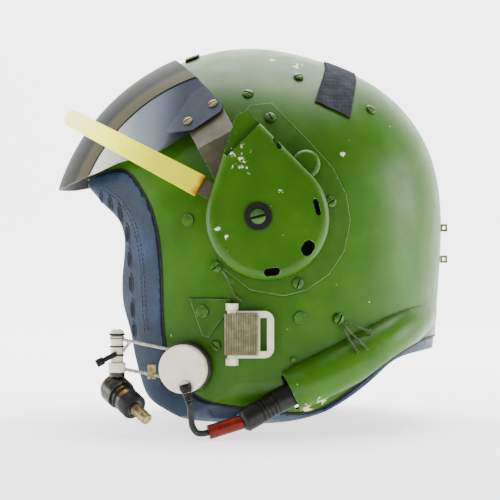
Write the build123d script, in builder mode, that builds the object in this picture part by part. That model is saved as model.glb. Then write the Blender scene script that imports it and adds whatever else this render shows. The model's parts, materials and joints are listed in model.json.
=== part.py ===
from build123d import *
import math
import os

# Pilot flight helmet: hard shell, swinging visor, microphone boom and strap buckles.
# The frame: +Z is up, the helmet faces -X, the wearer's left side is -Y.
# The origin is the middle of the visor's hinge axis. All lengths are in millimetres.

os.makedirs("parts", exist_ok=True)

# Side view in which the outlines are measured: tables that end in _px hold points of that view
mm_per_px = 0.8              # size of one view unit at the mid-plane
view_distance = 1300.0       # from the eye to the mid-plane, so nearer pieces look larger
view_centre_px = 250.0       # middle of the view, both ways
view_centre_x = -5.7
view_centre_z = -23.7

# Shell
shell_half_width = 126.0
front_radius = 138.5         # brow and front of the crown, struck from the hinge
crown_radius = 136.3
crown_rear_radius = 136.0
rear_high_radius = 143.0
rear_mid_radius = 147.2
rear_radius = 146.3
shell_depth = 190.0          # how far the plain body would reach below the hinge
shell_wall = 3.2
seat_gap = 0.3               # left between curved faces of neighbouring pieces
overrun = 60.0               # how far cuts run past what they cut

# Shares of the half width at which the shell's sections stand, from the middle outward
station_shares = (0.3, 0.5, 0.66, 0.79, 0.88, 0.94, 0.975, 0.992)
# Lower outline: how far forward, how far back and how deep, as shares
skirt_shares = ((0.985, 0.27), (0.955, 0.56), (0.86, 0.86))
depth_power_share = 0.15     # how fast the lower edge rises towards the sides

# Lining
liner_thickness = 15.0
liner_setback = 7.0
leather_inset = 0.8
leather_thickness = 11.0
bead_width = 1.2
bead_stand = 0.5
crown_pad = (110.0, 90.0)    # length and width
brow_pad = (96.0, 40.0)      # width and height
nape_pad = (100.0, 52.0)
pad_thickness = 10.0
cup_size = (62.0, 78.0)      # ear cup, fore and aft by height
cup_centre = (8.0, -46.0)
cup_inner_out = 84.0         # how far the cup's mouth stands from the mid-plane
cup_wall = 2.5
seal_thickness = 12.0
seal_width = 14.0
seal_round = 4.5
earphone_radius = 19.0
earphone_thickness = 8.0

# Nape roll and cable conduits, as tube centres (x, z, y) and radii from the mouth to the nape
roll_points = (
    (24.0, -126.0, 119.0, 16.5),
    (43.0, -117.0, 118.0, 16.8),
    (64.0, -107.0, 110.0, 17.0),
    (86.0, -95.0, 97.0, 17.0),
    (106.0, -84.0, 76.0, 16.5),
    (120.0, -76.0, 47.0, 15.5),
    (126.5, -72.0, 16.0, 15.5),
)
conduit_wall = 2.4
conduit_depth = 30.0

# Rims: points of the side view with how far out they lie, (px across, px down, out)
shell_rim_px = (
    (70, 174, 40.0), (100, 172, 65.0), (126, 170, 85.0), (138, 183, 95.0), (150, 204, 102.0),
    (158.5, 234.5, 107.0), (162, 273, 110.0), (163, 309, 110.0), (166, 343, 108.0),
    (176, 372, 108.0), (200, 396, 110.0), (239, 406, 112.0), (275, 411, 112.0),
    (308, 411, 112.0), (339, 396, 106.0), (381, 363, 88.0), (409, 343, 60.0), (450, 337, 20.0),
)
leather_rim_px = (
    (60, 187, 0.0), (87, 186, 20.0), (104, 204, 55.0), (120, 221, 75.0), (125, 243, 85.0),
    (123, 265, 88.0), (124, 309, 88.0), (130, 330, 90.0), (134, 352, 92.0), (140, 376, 95.0),
    (149, 398, 100.0), (166, 410, 105.0), (182, 418, 110.0), (230, 424, 110.0),
    (270, 425, 110.0), (300, 420, 110.0), (332, 406, 100.0), (356, 391, 95.0), (375, 375, 85.0),
    (392, 360, 75.0), (415, 350, 40.0), (450, 346, 20.0),
)

# Pivot covers and base plates
plate_thickness = 1.4
plate_outline_px = (
    (236, 120, 124.0), (250, 103, 118.0), (272, 101, 115.0), (310, 141, 118.0),
    (333, 167, 118.0), (347, 195, 118.0), (351, 221, 118.0), (345, 251, 120.0),
    (330, 274, 122.0), (307, 290, 124.0), (284, 296, 124.0), (250, 290, 124.0),
    (222, 268, 124.0), (214, 240, 124.0), (212, 205, 124.0), (222, 160, 124.0),
)
cover_radius = 44.0
cover_centre = (6.8, -1.0)
cover_apex = (-9.5, 67.0)
cover_apex_radius = 7.6
cover_round = 7.2
cover_face_out = 149.0       # how far the cover's face stands from the mid-plane
cover_inner_out = 92.0       # where its sides start, inside the shell's line
cover_wall = 2.0
facet_cut_px = ((208, 142), (227, 156), (262, 121), (252, 96))
facet_out = 143.0            # the slanted facet is cut back to here
bump_px = (306, 164)
bump_radius = 10.5
bump_out = 134.0
bump_round = 4.0
vents_px = (                 # centre across and down, length, width, turn in degrees
    (277, 143, 10.0, 3.0, -58.0), (317, 207, 12.0, 3.6, -75.0),
    (308, 248, 11.5, 8.5, 62.0), (272, 272, 11.5, 5.5, 8.0),
)
slot_from_angle = 92.0       # the cover is open at the front between these directions
slot_to_angle = 214.0
slot_top_out = 140.2

# Hinge stack at each hub: how far out each layer lies
collar_out = 128.4
collar_radius = 11.0
arm_out = 129.8
arm_thickness = 2.4
tang_thickness = 1.8
spindle_radius = 4.0
running_gap = 0.05
washer_radius = 9.7
washer_thickness = 1.5
hub_screw_radius = 6.1
hub_screw_height = 2.2

# Visor: a band turned about its own centre line, cut to the side view's outline
visor_centre = (-1.3, -23.5)
visor_radius = 164.0
visor_crease_out = 75.0
visor_crease_radius = 138.0
visor_edge_out = 112.0
visor_edge_radius = 101.5
visor_thickness = 2.4
visor_slope = 1.0            # fall of the side panels per unit of reach from the hinge
visor_start_angle = 5.0
visor_sweep_angle = 70.0
visor_outline = (            # x and z of the cut: lower edge from the tip, then the upper edge back
    (-168.0, 22.5), (-150.0, 25.0), (-139.0, 28.0), (-120.0, 34.5), (-104.0, 41.0), (-72.0, 48.6),
    (-47.0, 63.5), (-25.5, 76.5), (-24.5, 81.5), (-31.5, 90.0), (-47.6, 108.0), (-70.5, 132.0),
)
arm_width = 30.0
arm_angle = 118.0            # from +X, about the hinge
arm_bend_reach = 63.8        # from the hinge to where the arm bends in to the visor
arm_end_reach = 97.0
arm_rise = 1.41              # thickness across the slope against thickness square to it
arm_rivet_radius = 2.2
corner_plate_thickness = 1.6
corner_plate_px = ((164, 134), (193, 131), (221, 112), (223, 104), (202, 84), (190, 92))
corner_screws_px = ((213, 103.6), (188, 121.4))
corner_screw_radius = 3.6
lever_angle = 152.0
lever_start_reach = 47.0
lever_reach = 158.5
lever_root_width = 16.5
lever_tip_width = 12.4
lever_tip_out = 113.0
lever_bend_reach = 66.0
lever_thickness = 3.6
tang_width = 11.0
tang_reach = 64.0

# Screws, plugs and trim on the shell
screw_radius = 4.0
screw_height = 1.8
screw_slot_width = 1.1
screw_slot_depth = 0.9
plate_screws_px = ((270, 119), (330, 202), (297.5, 283), (217, 267))
shell_screws_px = ((248, 94), (298.6, 77), (370.5, 110))
shell_plugs_px = ((188, 220), (300, 318))
plug_radius = 4.6
plug_height = 0.8
stud_px = (293, 360)
stud_radius = 1.8
stud_height = 2.6
tape_px = ((327, 55), (327, 65), (314, 104), (348, 120), (358, 77), (358, 60))
tape_thickness = 1.0
bumper_x = (-56.5, -46.0)
bumper_half_width = 32.0
bumper_thickness = 1.8
bracket_heights = (-6.0, -31.0)
bracket_size = (5.0, 9.0, 6.0)

# Strap anchors and buckles
anchor_px = ((189, 299), (230, 299), (231, 306), (208, 338), (202, 336))
anchor_thickness = 1.6
anchor_rivet_px = (203, 311.5)
strap_screw_px = (215.6, 346)
bar_px = 232
bar_ends_px = (307, 362)
bar_radius = 2.1
bar_out = 131.5
bar_cap_radius = 3.4
bar_cap_length = 5.0
lug_size = (9.0, 6.0)
frame_px = ((237, 304), (274, 363))
frame_thickness = 2.6
frame_rim = 5.0
frame_round = 7.0
frame_bar = 6.0
frame_gap = 5.0
webbing_px = ((226, 314), (258, 355))
webbing_thickness = 1.6
webbing_gap = 0.4
webbing_ribs = 14
webbing_rib_depth = 0.5

# Lacing
wire_radius = 0.8
bend_share = 0.45            # radius of a bend over its shorter run, before the turn is counted
lace_screw_px = (338, 319)
lace_ends_px = ((371, 332, 112.4), (368, 350, 123.2), (358, 353, 126.0))
strap_wire_px = ((223, 271, 129.5), (231, 284, 129.0), (234, 295, 128.6), (243, 302, 128.0))
brown_lace_px = ((386, 354, 62.0), (401.5, 350.5, 56.0))

# Microphone boom, struck from the round cap's centre
boom_px = (187, 368)
boom_out = 121.5             # where the boom's base meets the shell's side
boom_tilt = 14.0             # how far its face turns forward, in degrees
boom_seat_depth = 14.0       # how far the base reaches in to the shell's side
boom_base_height = 2.0
ring_radius = 18.6
ring_height = 4.2
cap_radius = 17.6
cap_height = 7.0
cap_round = 1.6
boom_pin_radius = 5.0
gland_radius = 3.6
gland_length = 5.0
rod_radius = 1.2
rods_px = (((174, 350), (120, 339.5)), ((172, 378), (120, 369)))
link_px = ((131, 342), (124, 352))
clip_px = ((149, 157), (365, 379))
post_px = 117.5
post_span_px = (340, 363.5, 373)     # top and foot of the barrel, and underside of the foot ring
post_radius = 4.6
post_foot_radius = 6.4
post_cap_radius = 5.4
post_cap_height = 3.0
mic_pin_radius = 2.6
thumb_px = ((114, 354), (100, 362))
thumb_radius = 1.9
thumb_lift = 2.5
knob_radius = 2.9
mic_start_px = (110, 384, 106.0)
mic_end_px = (135, 408, 127.0)
stub_end_px = (146.5, 424, 136.0)
mic_radius = 9.3
clamp_place_share = 0.30     # where along the microphone its clamp sits
clamp_height = 3.0
clamp_ring_width = 10.0
clamp_band = 1.8
stub_radius = 4.0
stub_pitch = 1.6
stub_length = 16.0

# Comms lead: route points of the free cord, then its sleeve and plug, (px across, px down, out)
cord_radius = 2.3
cord_px = ((187, 393, 137.6), (190.2, 405, 138.2), (190.9, 416.5, 139.0), (192.0, 427.3, 139.8),
           (198.9, 435.4, 140.3), (208.5, 432.4, 139.0))
sleeve_px = ((208.5, 432.4, 139.0), (242, 422.0, 134.5))
sleeve_radius = 5.2
plug_px = ((242, 422.0, 134.5), (296, 391.5, 122.2))
plug_body_radius = 8.6
plug_ribs = 5
plug_rib_depth = 0.9
plug_rib_start_share = 0.30
plug_rib_step_share = 0.07


def side_point(px, py, out):
    """Turn a point of the side view into x and z, for a piece that lies `out` to the side."""
    k = mm_per_px * (view_distance - out) / view_distance
    return (view_centre_x + (px - view_centre_px) * k, view_centre_z + (view_centre_px - py) * k)


def left_point(px, py, out):
    """Point in space on the wearer's left side."""
    x, z = side_point(px, py, out)
    return Vector(x, -out, z)


skin_radii = (rear_radius, rear_mid_radius, rear_high_radius, crown_rear_radius, crown_radius,
              front_radius, front_radius, front_radius, front_radius)


def shell_section(share, grow):
    """Side-view outline of the shell's body at a share of its half width, open below."""
    s = math.sqrt(1 - share * share)
    angles = [i * math.pi / (len(skin_radii) - 1) for i in range(len(skin_radii))]
    upper = [((r + grow) * s * math.cos(a), (r + grow) * s * math.sin(a))
             for r, a in zip(skin_radii, angles)]
    depth = (shell_depth + grow) * s ** depth_power_share
    front = [(-(front_radius + grow) * s * reach, -depth * low) for reach, low in skirt_shares]
    rear = [((rear_radius + grow) * s * reach, -depth * low) for reach, low in skirt_shares]
    return rear[::-1] + upper + front


def shell_form(grow):
    """Solid body of the shell's shape, with its skin moved outward by `grow`."""
    half_width = shell_half_width + grow
    shares = [-s for s in station_shares[::-1]] + [0] + list(station_shares)
    with BuildPart() as form:
        for share in shares:
            with BuildSketch(Plane.XZ.offset(share * half_width)):
                with BuildLine():
                    section = shell_section(share, grow)
                    Spline(*section)
                    Line(section[-1], section[0])
                make_face()
        loft()
    return form.part


def between(values, at):
    """Straight-line reading of a table of evenly spaced values, `at` running from 0 to 1."""
    place = min(max(at, 0), 1) * (len(values) - 1)
    i = min(int(place), len(values) - 2)
    return values[i] + (values[i + 1] - values[i]) * (place - i)


def skin_out(x, z):
    """How far out the shell's skin lies at a point of the side view."""
    if z >= 0:
        s = math.hypot(x, z) / between(skin_radii, math.atan2(z, x) / math.pi)
    else:
        low = -z / shell_depth
        knots = [(1, 0)] + list(skirt_shares)
        reach = knots[-1][0]
        for (r0, l0), (r1, l1) in zip(knots, knots[1:]):
            if l0 <= low <= l1:
                reach = r0 + (r1 - r0) * (low - l0) / (l1 - l0)
        s = abs(x) / ((rear_radius if x > 0 else front_radius) * reach)
    return shell_half_width * math.sqrt(1 - min(s, station_shares[-1]) ** 2)


def skin_plane(px, py, lift=0):
    """Plane on the shell's left skin at a point of the side view, facing outward."""
    out = shell_half_width
    for _ in range(len(station_shares)):
        x, z = side_point(px, py, out)
        out = skin_out(x, z)
    step = plate_thickness
    slope_x = (skin_out(x + step, z) - skin_out(x - step, z)) / (2 * step)
    slope_z = (skin_out(x, z + step) - skin_out(x, z - step)) / (2 * step)
    face = Plane(origin=(x, -out, z), x_dir=(1, -slope_x, 0), z_dir=(-slope_x, -1, -slope_z))
    return face.offset(lift)


def moved_line(points, by):
    """Side-view rim line moved square to itself, forward and down."""
    moved = []
    for i, (x, z) in enumerate(points):
        x_before, z_before = points[max(i - 1, 0)]
        x_after, z_after = points[min(i + 1, len(points) - 1)]
        run = math.hypot(x_after - x_before, z_after - z_before)
        moved.append((x + by * (z_after - z_before) / run, z - by * (x_after - x_before) / run))
    return moved


def side_block(points_px, widen=0):
    """Block over the full width whose side view lies above and behind a rim line."""
    rim = moved_line([side_point(*p) for p in points_px], widen)
    far = rear_radius + overrun
    with BuildPart() as block:
        with BuildSketch(Plane.XZ):
            with BuildLine():
                Spline(*rim)
                Polyline(rim[-1], (far, rim[-1][1]), (far, far), (-far, far), (-far, rim[0][1]), rim[0])
            make_face()
        extrude(amount=shell_half_width + overrun, both=True)
    return block.part


def left_prism(points, out_from, out_to, smooth=False):
    """Block on the left side with the given side-view outline (x, z), between two distances out."""
    with BuildPart() as prism:
        with BuildSketch(Plane.XZ.offset(out_from)):
            with BuildLine():
                if smooth:
                    Spline(*points, periodic=True)
                else:
                    Polyline(*points, close=True)
            make_face()
        extrude(amount=out_to - out_from)
    return prism.part


def rod(start, end, radius):
    """Round bar between two points."""
    with BuildPart() as bar:
        with BuildSketch(Plane(origin=start, z_dir=end - start)):
            Circle(radius)
        extrude(amount=(end - start).length)
    return bar.part


def slotted_heads(planes, radius, height):
    """Domed screw heads with a driver slot, one on each plane."""
    with BuildPart() as heads:
        with Locations(*planes):
            Cylinder(radius, height, align=(Align.CENTER, Align.CENTER, Align.MIN))
        chamfer(heads.edges().group_by(SortBy.LENGTH)[-1], height / 3)
        with Locations(*[p.offset(height) for p in planes]):
            Box(2 * radius, screw_slot_width, 2 * screw_slot_depth, rotation=(0, 0, 25),
                mode=Mode.SUBTRACT)
    return heads.part


def mirrored(part):
    """The same piece on the wearer's right side."""
    with BuildPart() as twin:
        add(mirror(part, about=Plane.XZ))
    return twin.part


def keep(part, name):
    """Label a finished piece and write it to its file."""
    part.label = name
    export_step(part, f"parts/{name}.step")
    print(name, "solids", len(part.solids()), "volume", round(part.volume, 1), "valid", part.is_valid)


def both_sides(part, name):
    """Write one node that holds the left pieces and their twins on the right."""
    with BuildPart() as pair:
        add(part)
        add(mirror(part, about=Plane.XZ))
    keep(pair.part, name)


# Bodies that several pieces share
outer_form = shell_form(0)
wall_form = shell_form(-shell_wall)
liner_form = shell_form(-shell_wall - seat_gap)
pad_form = shell_form(-shell_wall - 2 * seat_gap - liner_thickness)
rim_block = side_block(shell_rim_px)
bead_block = side_block(shell_rim_px, bead_width)

# Nape roll with an arm at either side, symmetric about the mid-plane; the left arm is the conduit
with BuildPart() as roll_form:
    left = [(Vector(x, -out, z), r) for x, z, out, r in roll_points]
    right = [(Vector(v.X, -v.Y, v.Z), r) for v, r in left[::-1]]
    rings = left + right
    for i, (centre, radius) in enumerate(rings):
        before = rings[max(i - 1, 0)][0]
        after = rings[min(i + 1, len(rings) - 1)][0]
        with BuildSketch(Plane(origin=centre, x_dir=(0, 0, 1), z_dir=after - before)):
            Circle(radius)
    loft()

# Shell: body and roll in one moulding, hollow, cut along its rim, with the left conduit open
plug_from, plug_to = [left_point(*p) for p in plug_px]
plug_way = (plug_to - plug_from).normalized()
plug_channel = rod(plug_from - plug_way * plug_body_radius, plug_to + plug_way * seat_gap,
                   plug_body_radius + seat_gap)
conduit_way = (rings[1][0] - rings[0][0]).normalized()
conduit_room = rod(rings[0][0] - conduit_way * overrun, rings[0][0] + conduit_way * conduit_depth,
                   rings[0][1] - conduit_wall + seat_gap)
with BuildPart() as outer_shell:
    add(outer_form)
    add(roll_form.part)
    add(wall_form, mode=Mode.SUBTRACT)
    add(rim_block, mode=Mode.INTERSECT)
    with BuildSketch(Plane(origin=rings[0][0], z_dir=conduit_way).offset(-conduit_wall)):
        Circle(rings[0][1] - conduit_wall)
    extrude(amount=conduit_depth, mode=Mode.SUBTRACT)
    add(plug_channel, mode=Mode.SUBTRACT)
keep(outer_shell.part, "outer_shell")

with BuildPart() as edge_bead:
    add(shell_form(bead_stand))
    add(wall_form, mode=Mode.SUBTRACT)
    add(bead_block, mode=Mode.INTERSECT)
    add(rim_block, mode=Mode.SUBTRACT)
    add(plug_channel, mode=Mode.SUBTRACT)
keep(edge_bead.part, "edge_bead")

leather_outer = shell_form(-leather_inset)
leather_inner = shell_form(-leather_inset - leather_thickness)
with BuildPart() as edge_roll:
    add(leather_outer)
    add(leather_inner, mode=Mode.SUBTRACT)
    add(side_block(leather_rim_px), mode=Mode.INTERSECT)
    add(side_block(shell_rim_px, bead_width + seat_gap), mode=Mode.SUBTRACT)
    add(conduit_room, mode=Mode.SUBTRACT)
keep(edge_roll.part, "edge_roll")

with BuildPart() as foam_liner:
    add(liner_form)
    add(shell_form(-shell_wall - seat_gap - liner_thickness), mode=Mode.SUBTRACT)
    add(side_block(shell_rim_px, -liner_setback), mode=Mode.INTERSECT)
    add(conduit_room, mode=Mode.SUBTRACT)
keep(foam_liner.part, "foam_liner")

# Comfort pads under the liner
pad_gap_form = shell_form(-shell_wall - 3 * seat_gap - liner_thickness)
pad_inner_form = shell_form(-shell_wall - 3 * seat_gap - liner_thickness - pad_thickness)
with BuildPart() as crown_block:
    with BuildSketch():
        RectangleRounded(*crown_pad, crown_pad[1] / 4)
    extrude(amount=crown_radius)
with BuildPart() as brow_block:
    with BuildSketch(Plane.YZ.offset(-front_radius)):
        with Locations((0, front_radius / 2)):
            RectangleRounded(*brow_pad, brow_pad[1] / 4)
    extrude(amount=front_radius / 2)
with BuildPart() as nape_block:
    with BuildSketch(Plane.YZ.offset(rear_radius / 2)):
        with Locations((0, -nape_pad[1])):
            RectangleRounded(*nape_pad, nape_pad[1] / 4)
    extrude(amount=rear_radius)
for pad_name, pad_block in (("crown_pad", crown_block), ("brow_pad", brow_block), ("nape_pad", nape_block)):
    with BuildPart() as pad:
        add(pad_block.part)
        add(pad_gap_form, mode=Mode.INTERSECT)
        add(pad_inner_form, mode=Mode.SUBTRACT)
    keep(pad.part, pad_name)

# Ear cups: a shell open inward, a ring cushion on its lip and the earphone inside
cup_plane = Plane.XZ.offset(cup_inner_out)
with BuildPart() as ear_cup_l:
    with BuildSketch(cup_plane):
        with Locations(cup_centre):
            Ellipse(cup_size[0] / 2, cup_size[1] / 2)
    extrude(amount=shell_half_width - cup_inner_out)
    add(pad_gap_form, mode=Mode.INTERSECT)
    with BuildSketch(cup_plane):
        with Locations(cup_centre):
            Ellipse(cup_size[0] / 2 - cup_wall, cup_size[1] / 2 - cup_wall)
    extrude(amount=earphone_thickness + cup_wall, mode=Mode.SUBTRACT)
with BuildPart() as ear_seal_l:
    with BuildSketch(cup_plane.offset(-seat_gap)):
        with Locations(cup_centre):
            Ellipse(cup_size[0] / 2, cup_size[1] / 2)
            Ellipse(cup_size[0] / 2 - seal_width, cup_size[1] / 2 - seal_width, mode=Mode.SUBTRACT)
    extrude(amount=-seal_thickness)
    fillet(ear_seal_l.edges(), seal_round)
with BuildPart() as earphone_l:
    with BuildSketch(cup_plane.offset(cup_wall)):
        with Locations(cup_centre):
            Circle(earphone_radius)
    extrude(amount=earphone_thickness)
for piece, name in ((ear_cup_l, "ear_cup"), (ear_seal_l, "ear_seal"), (earphone_l, "earphone")):
    keep(piece.part, name + "_l")
    keep(mirrored(piece.part), name + "_r")

# Base plates, laid on the shell's sides
plate_form = shell_form(seat_gap + plate_thickness)
plate_seat = shell_form(seat_gap)
over_plate = shell_form(2 * seat_gap + plate_thickness)
with BuildPart() as base_plate_l:
    add(left_prism([side_point(*p) for p in plate_outline_px], cup_inner_out, cover_face_out))
    add(plate_form, mode=Mode.INTERSECT)
    add(plate_seat, mode=Mode.SUBTRACT)
both_sides(base_plate_l.part, "base_plates")

# Pivot covers: rounded shells over the hinge, open at the front for the visor's arm
bump_at = side_point(*bump_px, bump_out)


def cover_solid(inset):
    """Cover's outer or inner body: a teardrop round the hinge, rounded over at the face."""
    with BuildPart() as body:
        with BuildSketch(Plane.XZ.offset(cover_inner_out)):
            with Locations(cover_centre):
                Circle(cover_radius - inset)
            with Locations(cover_apex):
                Circle(cover_apex_radius - inset)
            make_hull()
        extrude(amount=cover_face_out - inset - cover_inner_out)
        fillet(body.faces().sort_by(Axis.Y)[0].edges(), cover_round - inset)
    return body.part


facet_points = [side_point(*p, cover_face_out) for p in facet_cut_px]
slot_turns = [slot_from_angle + i * (slot_to_angle - slot_from_angle) / 4 for i in range(5)]
slot_fan = [(0, 0)] + [(2 * cover_face_out * math.cos(math.radians(a)),
                        2 * cover_face_out * math.sin(math.radians(a))) for a in slot_turns]
with BuildPart() as rear_bump:
    with BuildSketch(Plane.XZ.offset(cover_inner_out)):
        with Locations(bump_at):
            Circle(bump_radius)
    extrude(amount=bump_out - cover_inner_out)
    fillet(rear_bump.faces().sort_by(Axis.Y)[0].edges(), bump_round)
with BuildPart() as cover_hollow:
    add(cover_solid(cover_wall))
    add(left_prism(facet_points, facet_out - cover_wall, cover_face_out), mode=Mode.SUBTRACT)
with BuildPart() as pivot_cover_l:
    add(cover_solid(0))
    add(rear_bump.part)
    add(left_prism(facet_points, facet_out, cover_face_out + overrun), mode=Mode.SUBTRACT)
    add(cover_hollow.part, mode=Mode.SUBTRACT)
    add(left_prism(slot_fan, cover_inner_out - overrun, slot_top_out), mode=Mode.SUBTRACT)
    add(over_plate, mode=Mode.SUBTRACT)
    # vents and the screw's hole
    for px, py, length, width, turn in vents_px:
        with BuildSketch(Plane.XZ.offset(cover_inner_out)):
            with Locations(Location((*side_point(px, py, cover_face_out), 0), (0, 0, turn))):
                SlotOverall(length, width)
        extrude(amount=cover_face_out, mode=Mode.SUBTRACT)
    with BuildSketch(Plane.XZ.offset(shell_half_width)):
        Circle(spindle_radius + seat_gap)
    extrude(amount=overrun, mode=Mode.SUBTRACT)
keep(pivot_cover_l.part, "pivot_cover_l")
keep(mirrored(pivot_cover_l.part), "pivot_cover_r")

# Hub on each side: spindle with its collar, rubber washer and screw on the cover's face
with BuildPart() as hub_spindle_l:
    with BuildSketch(Plane.XZ.offset(shell_half_width + 2 * seat_gap + plate_thickness)):
        Circle(collar_radius)
    extrude(amount=collar_out - shell_half_width - 2 * seat_gap - plate_thickness)
    with BuildSketch(Plane.XZ.offset(collar_out)):
        Circle(spindle_radius)
    extrude(amount=cover_face_out - cover_wall - seat_gap - collar_out)
with BuildPart() as hub_washer_l:
    with BuildSketch(Plane.XZ.offset(cover_face_out)):
        Circle(washer_radius)
        Circle(spindle_radius + seat_gap, mode=Mode.SUBTRACT)
    extrude(amount=washer_thickness)
with BuildPart() as hub_screw_l:
    with BuildSketch(Plane.XZ.offset(cover_face_out + washer_thickness)):
        Circle(hub_screw_radius)
    extrude(amount=hub_screw_height)
    chamfer(hub_screw_l.faces().sort_by(Axis.Y)[0].edges(), hub_screw_height / 3)
    with Locations((0, -cover_face_out - washer_thickness - hub_screw_height, 0)):
        Box(2 * hub_screw_radius, 2 * screw_slot_depth, screw_slot_width, rotation=(0, 35, 0),
            mode=Mode.SUBTRACT)
    with BuildSketch(Plane.XZ.offset(cover_face_out - cover_wall - seat_gap)):
        Circle(spindle_radius - running_gap)
    extrude(amount=cover_wall + seat_gap + washer_thickness)
for piece, name in ((hub_spindle_l, "hub_spindles"), (hub_washer_l, "hub_washers"),
                    (hub_screw_l, "hub_screws")):
    both_sides(piece.part, name)

# Visor lens: a band struck from its own centre line, then cut to the outline
visor_axis = Axis((visor_centre[0], 0, visor_centre[1]), (0, 1, 0))
start = math.radians(visor_start_angle)
visor_plane = Plane(origin=visor_axis.position, x_dir=(0, 1, 0),
                    z_dir=(math.sin(start), 0, math.cos(start)))


visor_fall = (visor_crease_radius - visor_edge_radius) / (visor_edge_out - visor_crease_out)
arc_rise = visor_radius - visor_crease_radius
arc_radius = (visor_crease_out ** 2 + arc_rise ** 2) / (2 * arc_rise)
arc_steps = 8


def visor_profile(inset):
    """Crown arc of the visor's section and one corner each of its side lines, moved inward."""
    r = arc_radius - inset
    middle = visor_radius - arc_radius
    drop = inset * math.hypot(1, visor_fall)
    y = visor_crease_out
    for _ in range(arc_steps):
        line_at = visor_crease_radius - visor_fall * (y - visor_crease_out) - drop
        arc_at = math.sqrt(r * r - y * y)
        y += (middle + arc_at - line_at) / (y / arc_at - visor_fall)
    turn = math.asin(y / r) / arc_steps
    arc = [(r * math.sin(turn * i), middle + r * math.cos(turn * i))
           for i in range(-arc_steps, arc_steps + 1)]
    out = visor_edge_out + 2 * inset
    end = (out, visor_crease_radius - visor_fall * (out - visor_crease_out) - drop)
    return arc, end


far = visor_radius + overrun
visor_cut = visor_outline + ((visor_outline[-1][0], far), (-far, far), (-far, visor_outline[0][1]))
with BuildPart() as visor_lens:
    with BuildSketch(visor_plane):
        for inset, mode in ((0, Mode.ADD), (visor_thickness, Mode.SUBTRACT)):
            arc, end = visor_profile(inset)
            foot = visor_edge_radius - 2 * visor_thickness - 2 * inset
            with BuildLine():
                Spline(*arc)
                Polyline(arc[-1], end, (end[0], foot), (-end[0], foot), (-end[0], end[1]), arc[0])
            make_face(mode=mode)
    revolve(axis=visor_axis, revolution_arc=visor_sweep_angle)
    with BuildSketch(Plane.XZ):
        Polygon(*visor_cut, align=None)
    extrude(amount=visor_edge_out + overrun, both=True, mode=Mode.INTERSECT)
keep(visor_lens.part, "visor_lens")


# Arm side view frames: along the arm from the hinge, and outward
def reach_plane(angle):
    """Plane through the hinge axis: first along a direction of the side view, then outward."""
    a = math.radians(angle)
    return Plane(origin=(0, 0, 0), x_dir=(math.cos(a), 0, math.sin(a)),
                 z_dir=(math.sin(a), 0, -math.cos(a)))


def strip(angle, line, thickness, width):
    """Bent flat bar: its inner face follows a line of (reach, out) points."""
    upper = [(r, o + thickness) for r, o in line]
    with BuildPart() as bar:
        with BuildSketch(reach_plane(angle)):
            with BuildLine():
                Polyline(*line, *upper[::-1], close=True)
            make_face()
        extrude(amount=width / 2, both=True)
    return bar.part


arm_drop = (arm_end_reach - arm_bend_reach) * visor_slope
arm_line = [(-arm_width / 2, arm_out), (arm_bend_reach, arm_out), (arm_end_reach, arm_out - arm_drop)]
with BuildPart() as visor_arm_l:
    add(strip(arm_angle, arm_line, arm_thickness, arm_width))
    with BuildSketch(Plane.XZ.offset(cover_inner_out - overrun)):
        with Locations(Location((0, 0, 0), (0, 0, arm_angle))):
            SlotOverall(2 * arm_end_reach, arm_width)
    extrude(amount=overrun + cover_face_out, mode=Mode.INTERSECT)
    with BuildSketch(Plane.XZ.offset(cover_inner_out)):
        Circle(spindle_radius + running_gap)
    extrude(amount=overrun, mode=Mode.SUBTRACT)
keep(visor_arm_l.part, "visor_arm_l")
keep(mirrored(visor_arm_l.part), "visor_arm_r")

plate_line = [(r, o + arm_thickness * arm_rise) for r, o in
              ((arm_bend_reach, arm_out), (arm_end_reach + arm_width, arm_out - arm_drop
                                           - arm_width * visor_slope))]
with BuildPart() as corner_plate_l:
    add(strip(arm_angle, plate_line, corner_plate_thickness * arm_rise, 2 * arm_width))
    add(left_prism([side_point(*p, visor_edge_out) for p in corner_plate_px], cover_inner_out - overrun,
                   cover_face_out), mode=Mode.INTERSECT)
keep(corner_plate_l.part, "corner_plate_l")
keep(mirrored(corner_plate_l.part), "corner_plate_r")

# Lever: yellow plate over a metal tang that is keyed to the left arm
lever_out = arm_out + arm_thickness
lever_fall = (lever_out + tang_thickness - lever_tip_out) / (lever_reach - lever_bend_reach)
tang_line = [(-collar_radius, lever_out), (tang_reach, lever_out)]
with BuildPart() as lever_tang:
    add(strip(lever_angle, tang_line, tang_thickness, tang_width))
    with BuildSketch(Plane.XZ.offset(cover_inner_out)):
        Circle(spindle_radius + running_gap)
    extrude(amount=overrun, mode=Mode.SUBTRACT)
keep(lever_tang.part, "lever_tang")
lever_line = [(lever_start_reach, lever_out + tang_thickness), (lever_bend_reach, lever_out + tang_thickness),
              (lever_reach, lever_tip_out)]
with BuildPart() as visor_lever:
    add(strip(lever_angle, lever_line, lever_thickness, lever_root_width))
    with BuildSketch(Plane.XZ.offset(cover_inner_out - overrun)):
        with Locations(Location((0, 0, 0), (0, 0, lever_angle))):
            Polygon((lever_start_reach, -lever_root_width / 2), (lever_start_reach, lever_root_width / 2),
                    (lever_reach - lever_tip_width / 3, lever_tip_width / 2),
                    (lever_reach, lever_tip_width / 4), (lever_reach, -lever_tip_width / 4),
                    (lever_reach - lever_tip_width / 3, -lever_tip_width / 2), align=None)
    extrude(amount=overrun + cover_face_out, mode=Mode.INTERSECT)
keep(visor_lever.part, "visor_lever")


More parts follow.
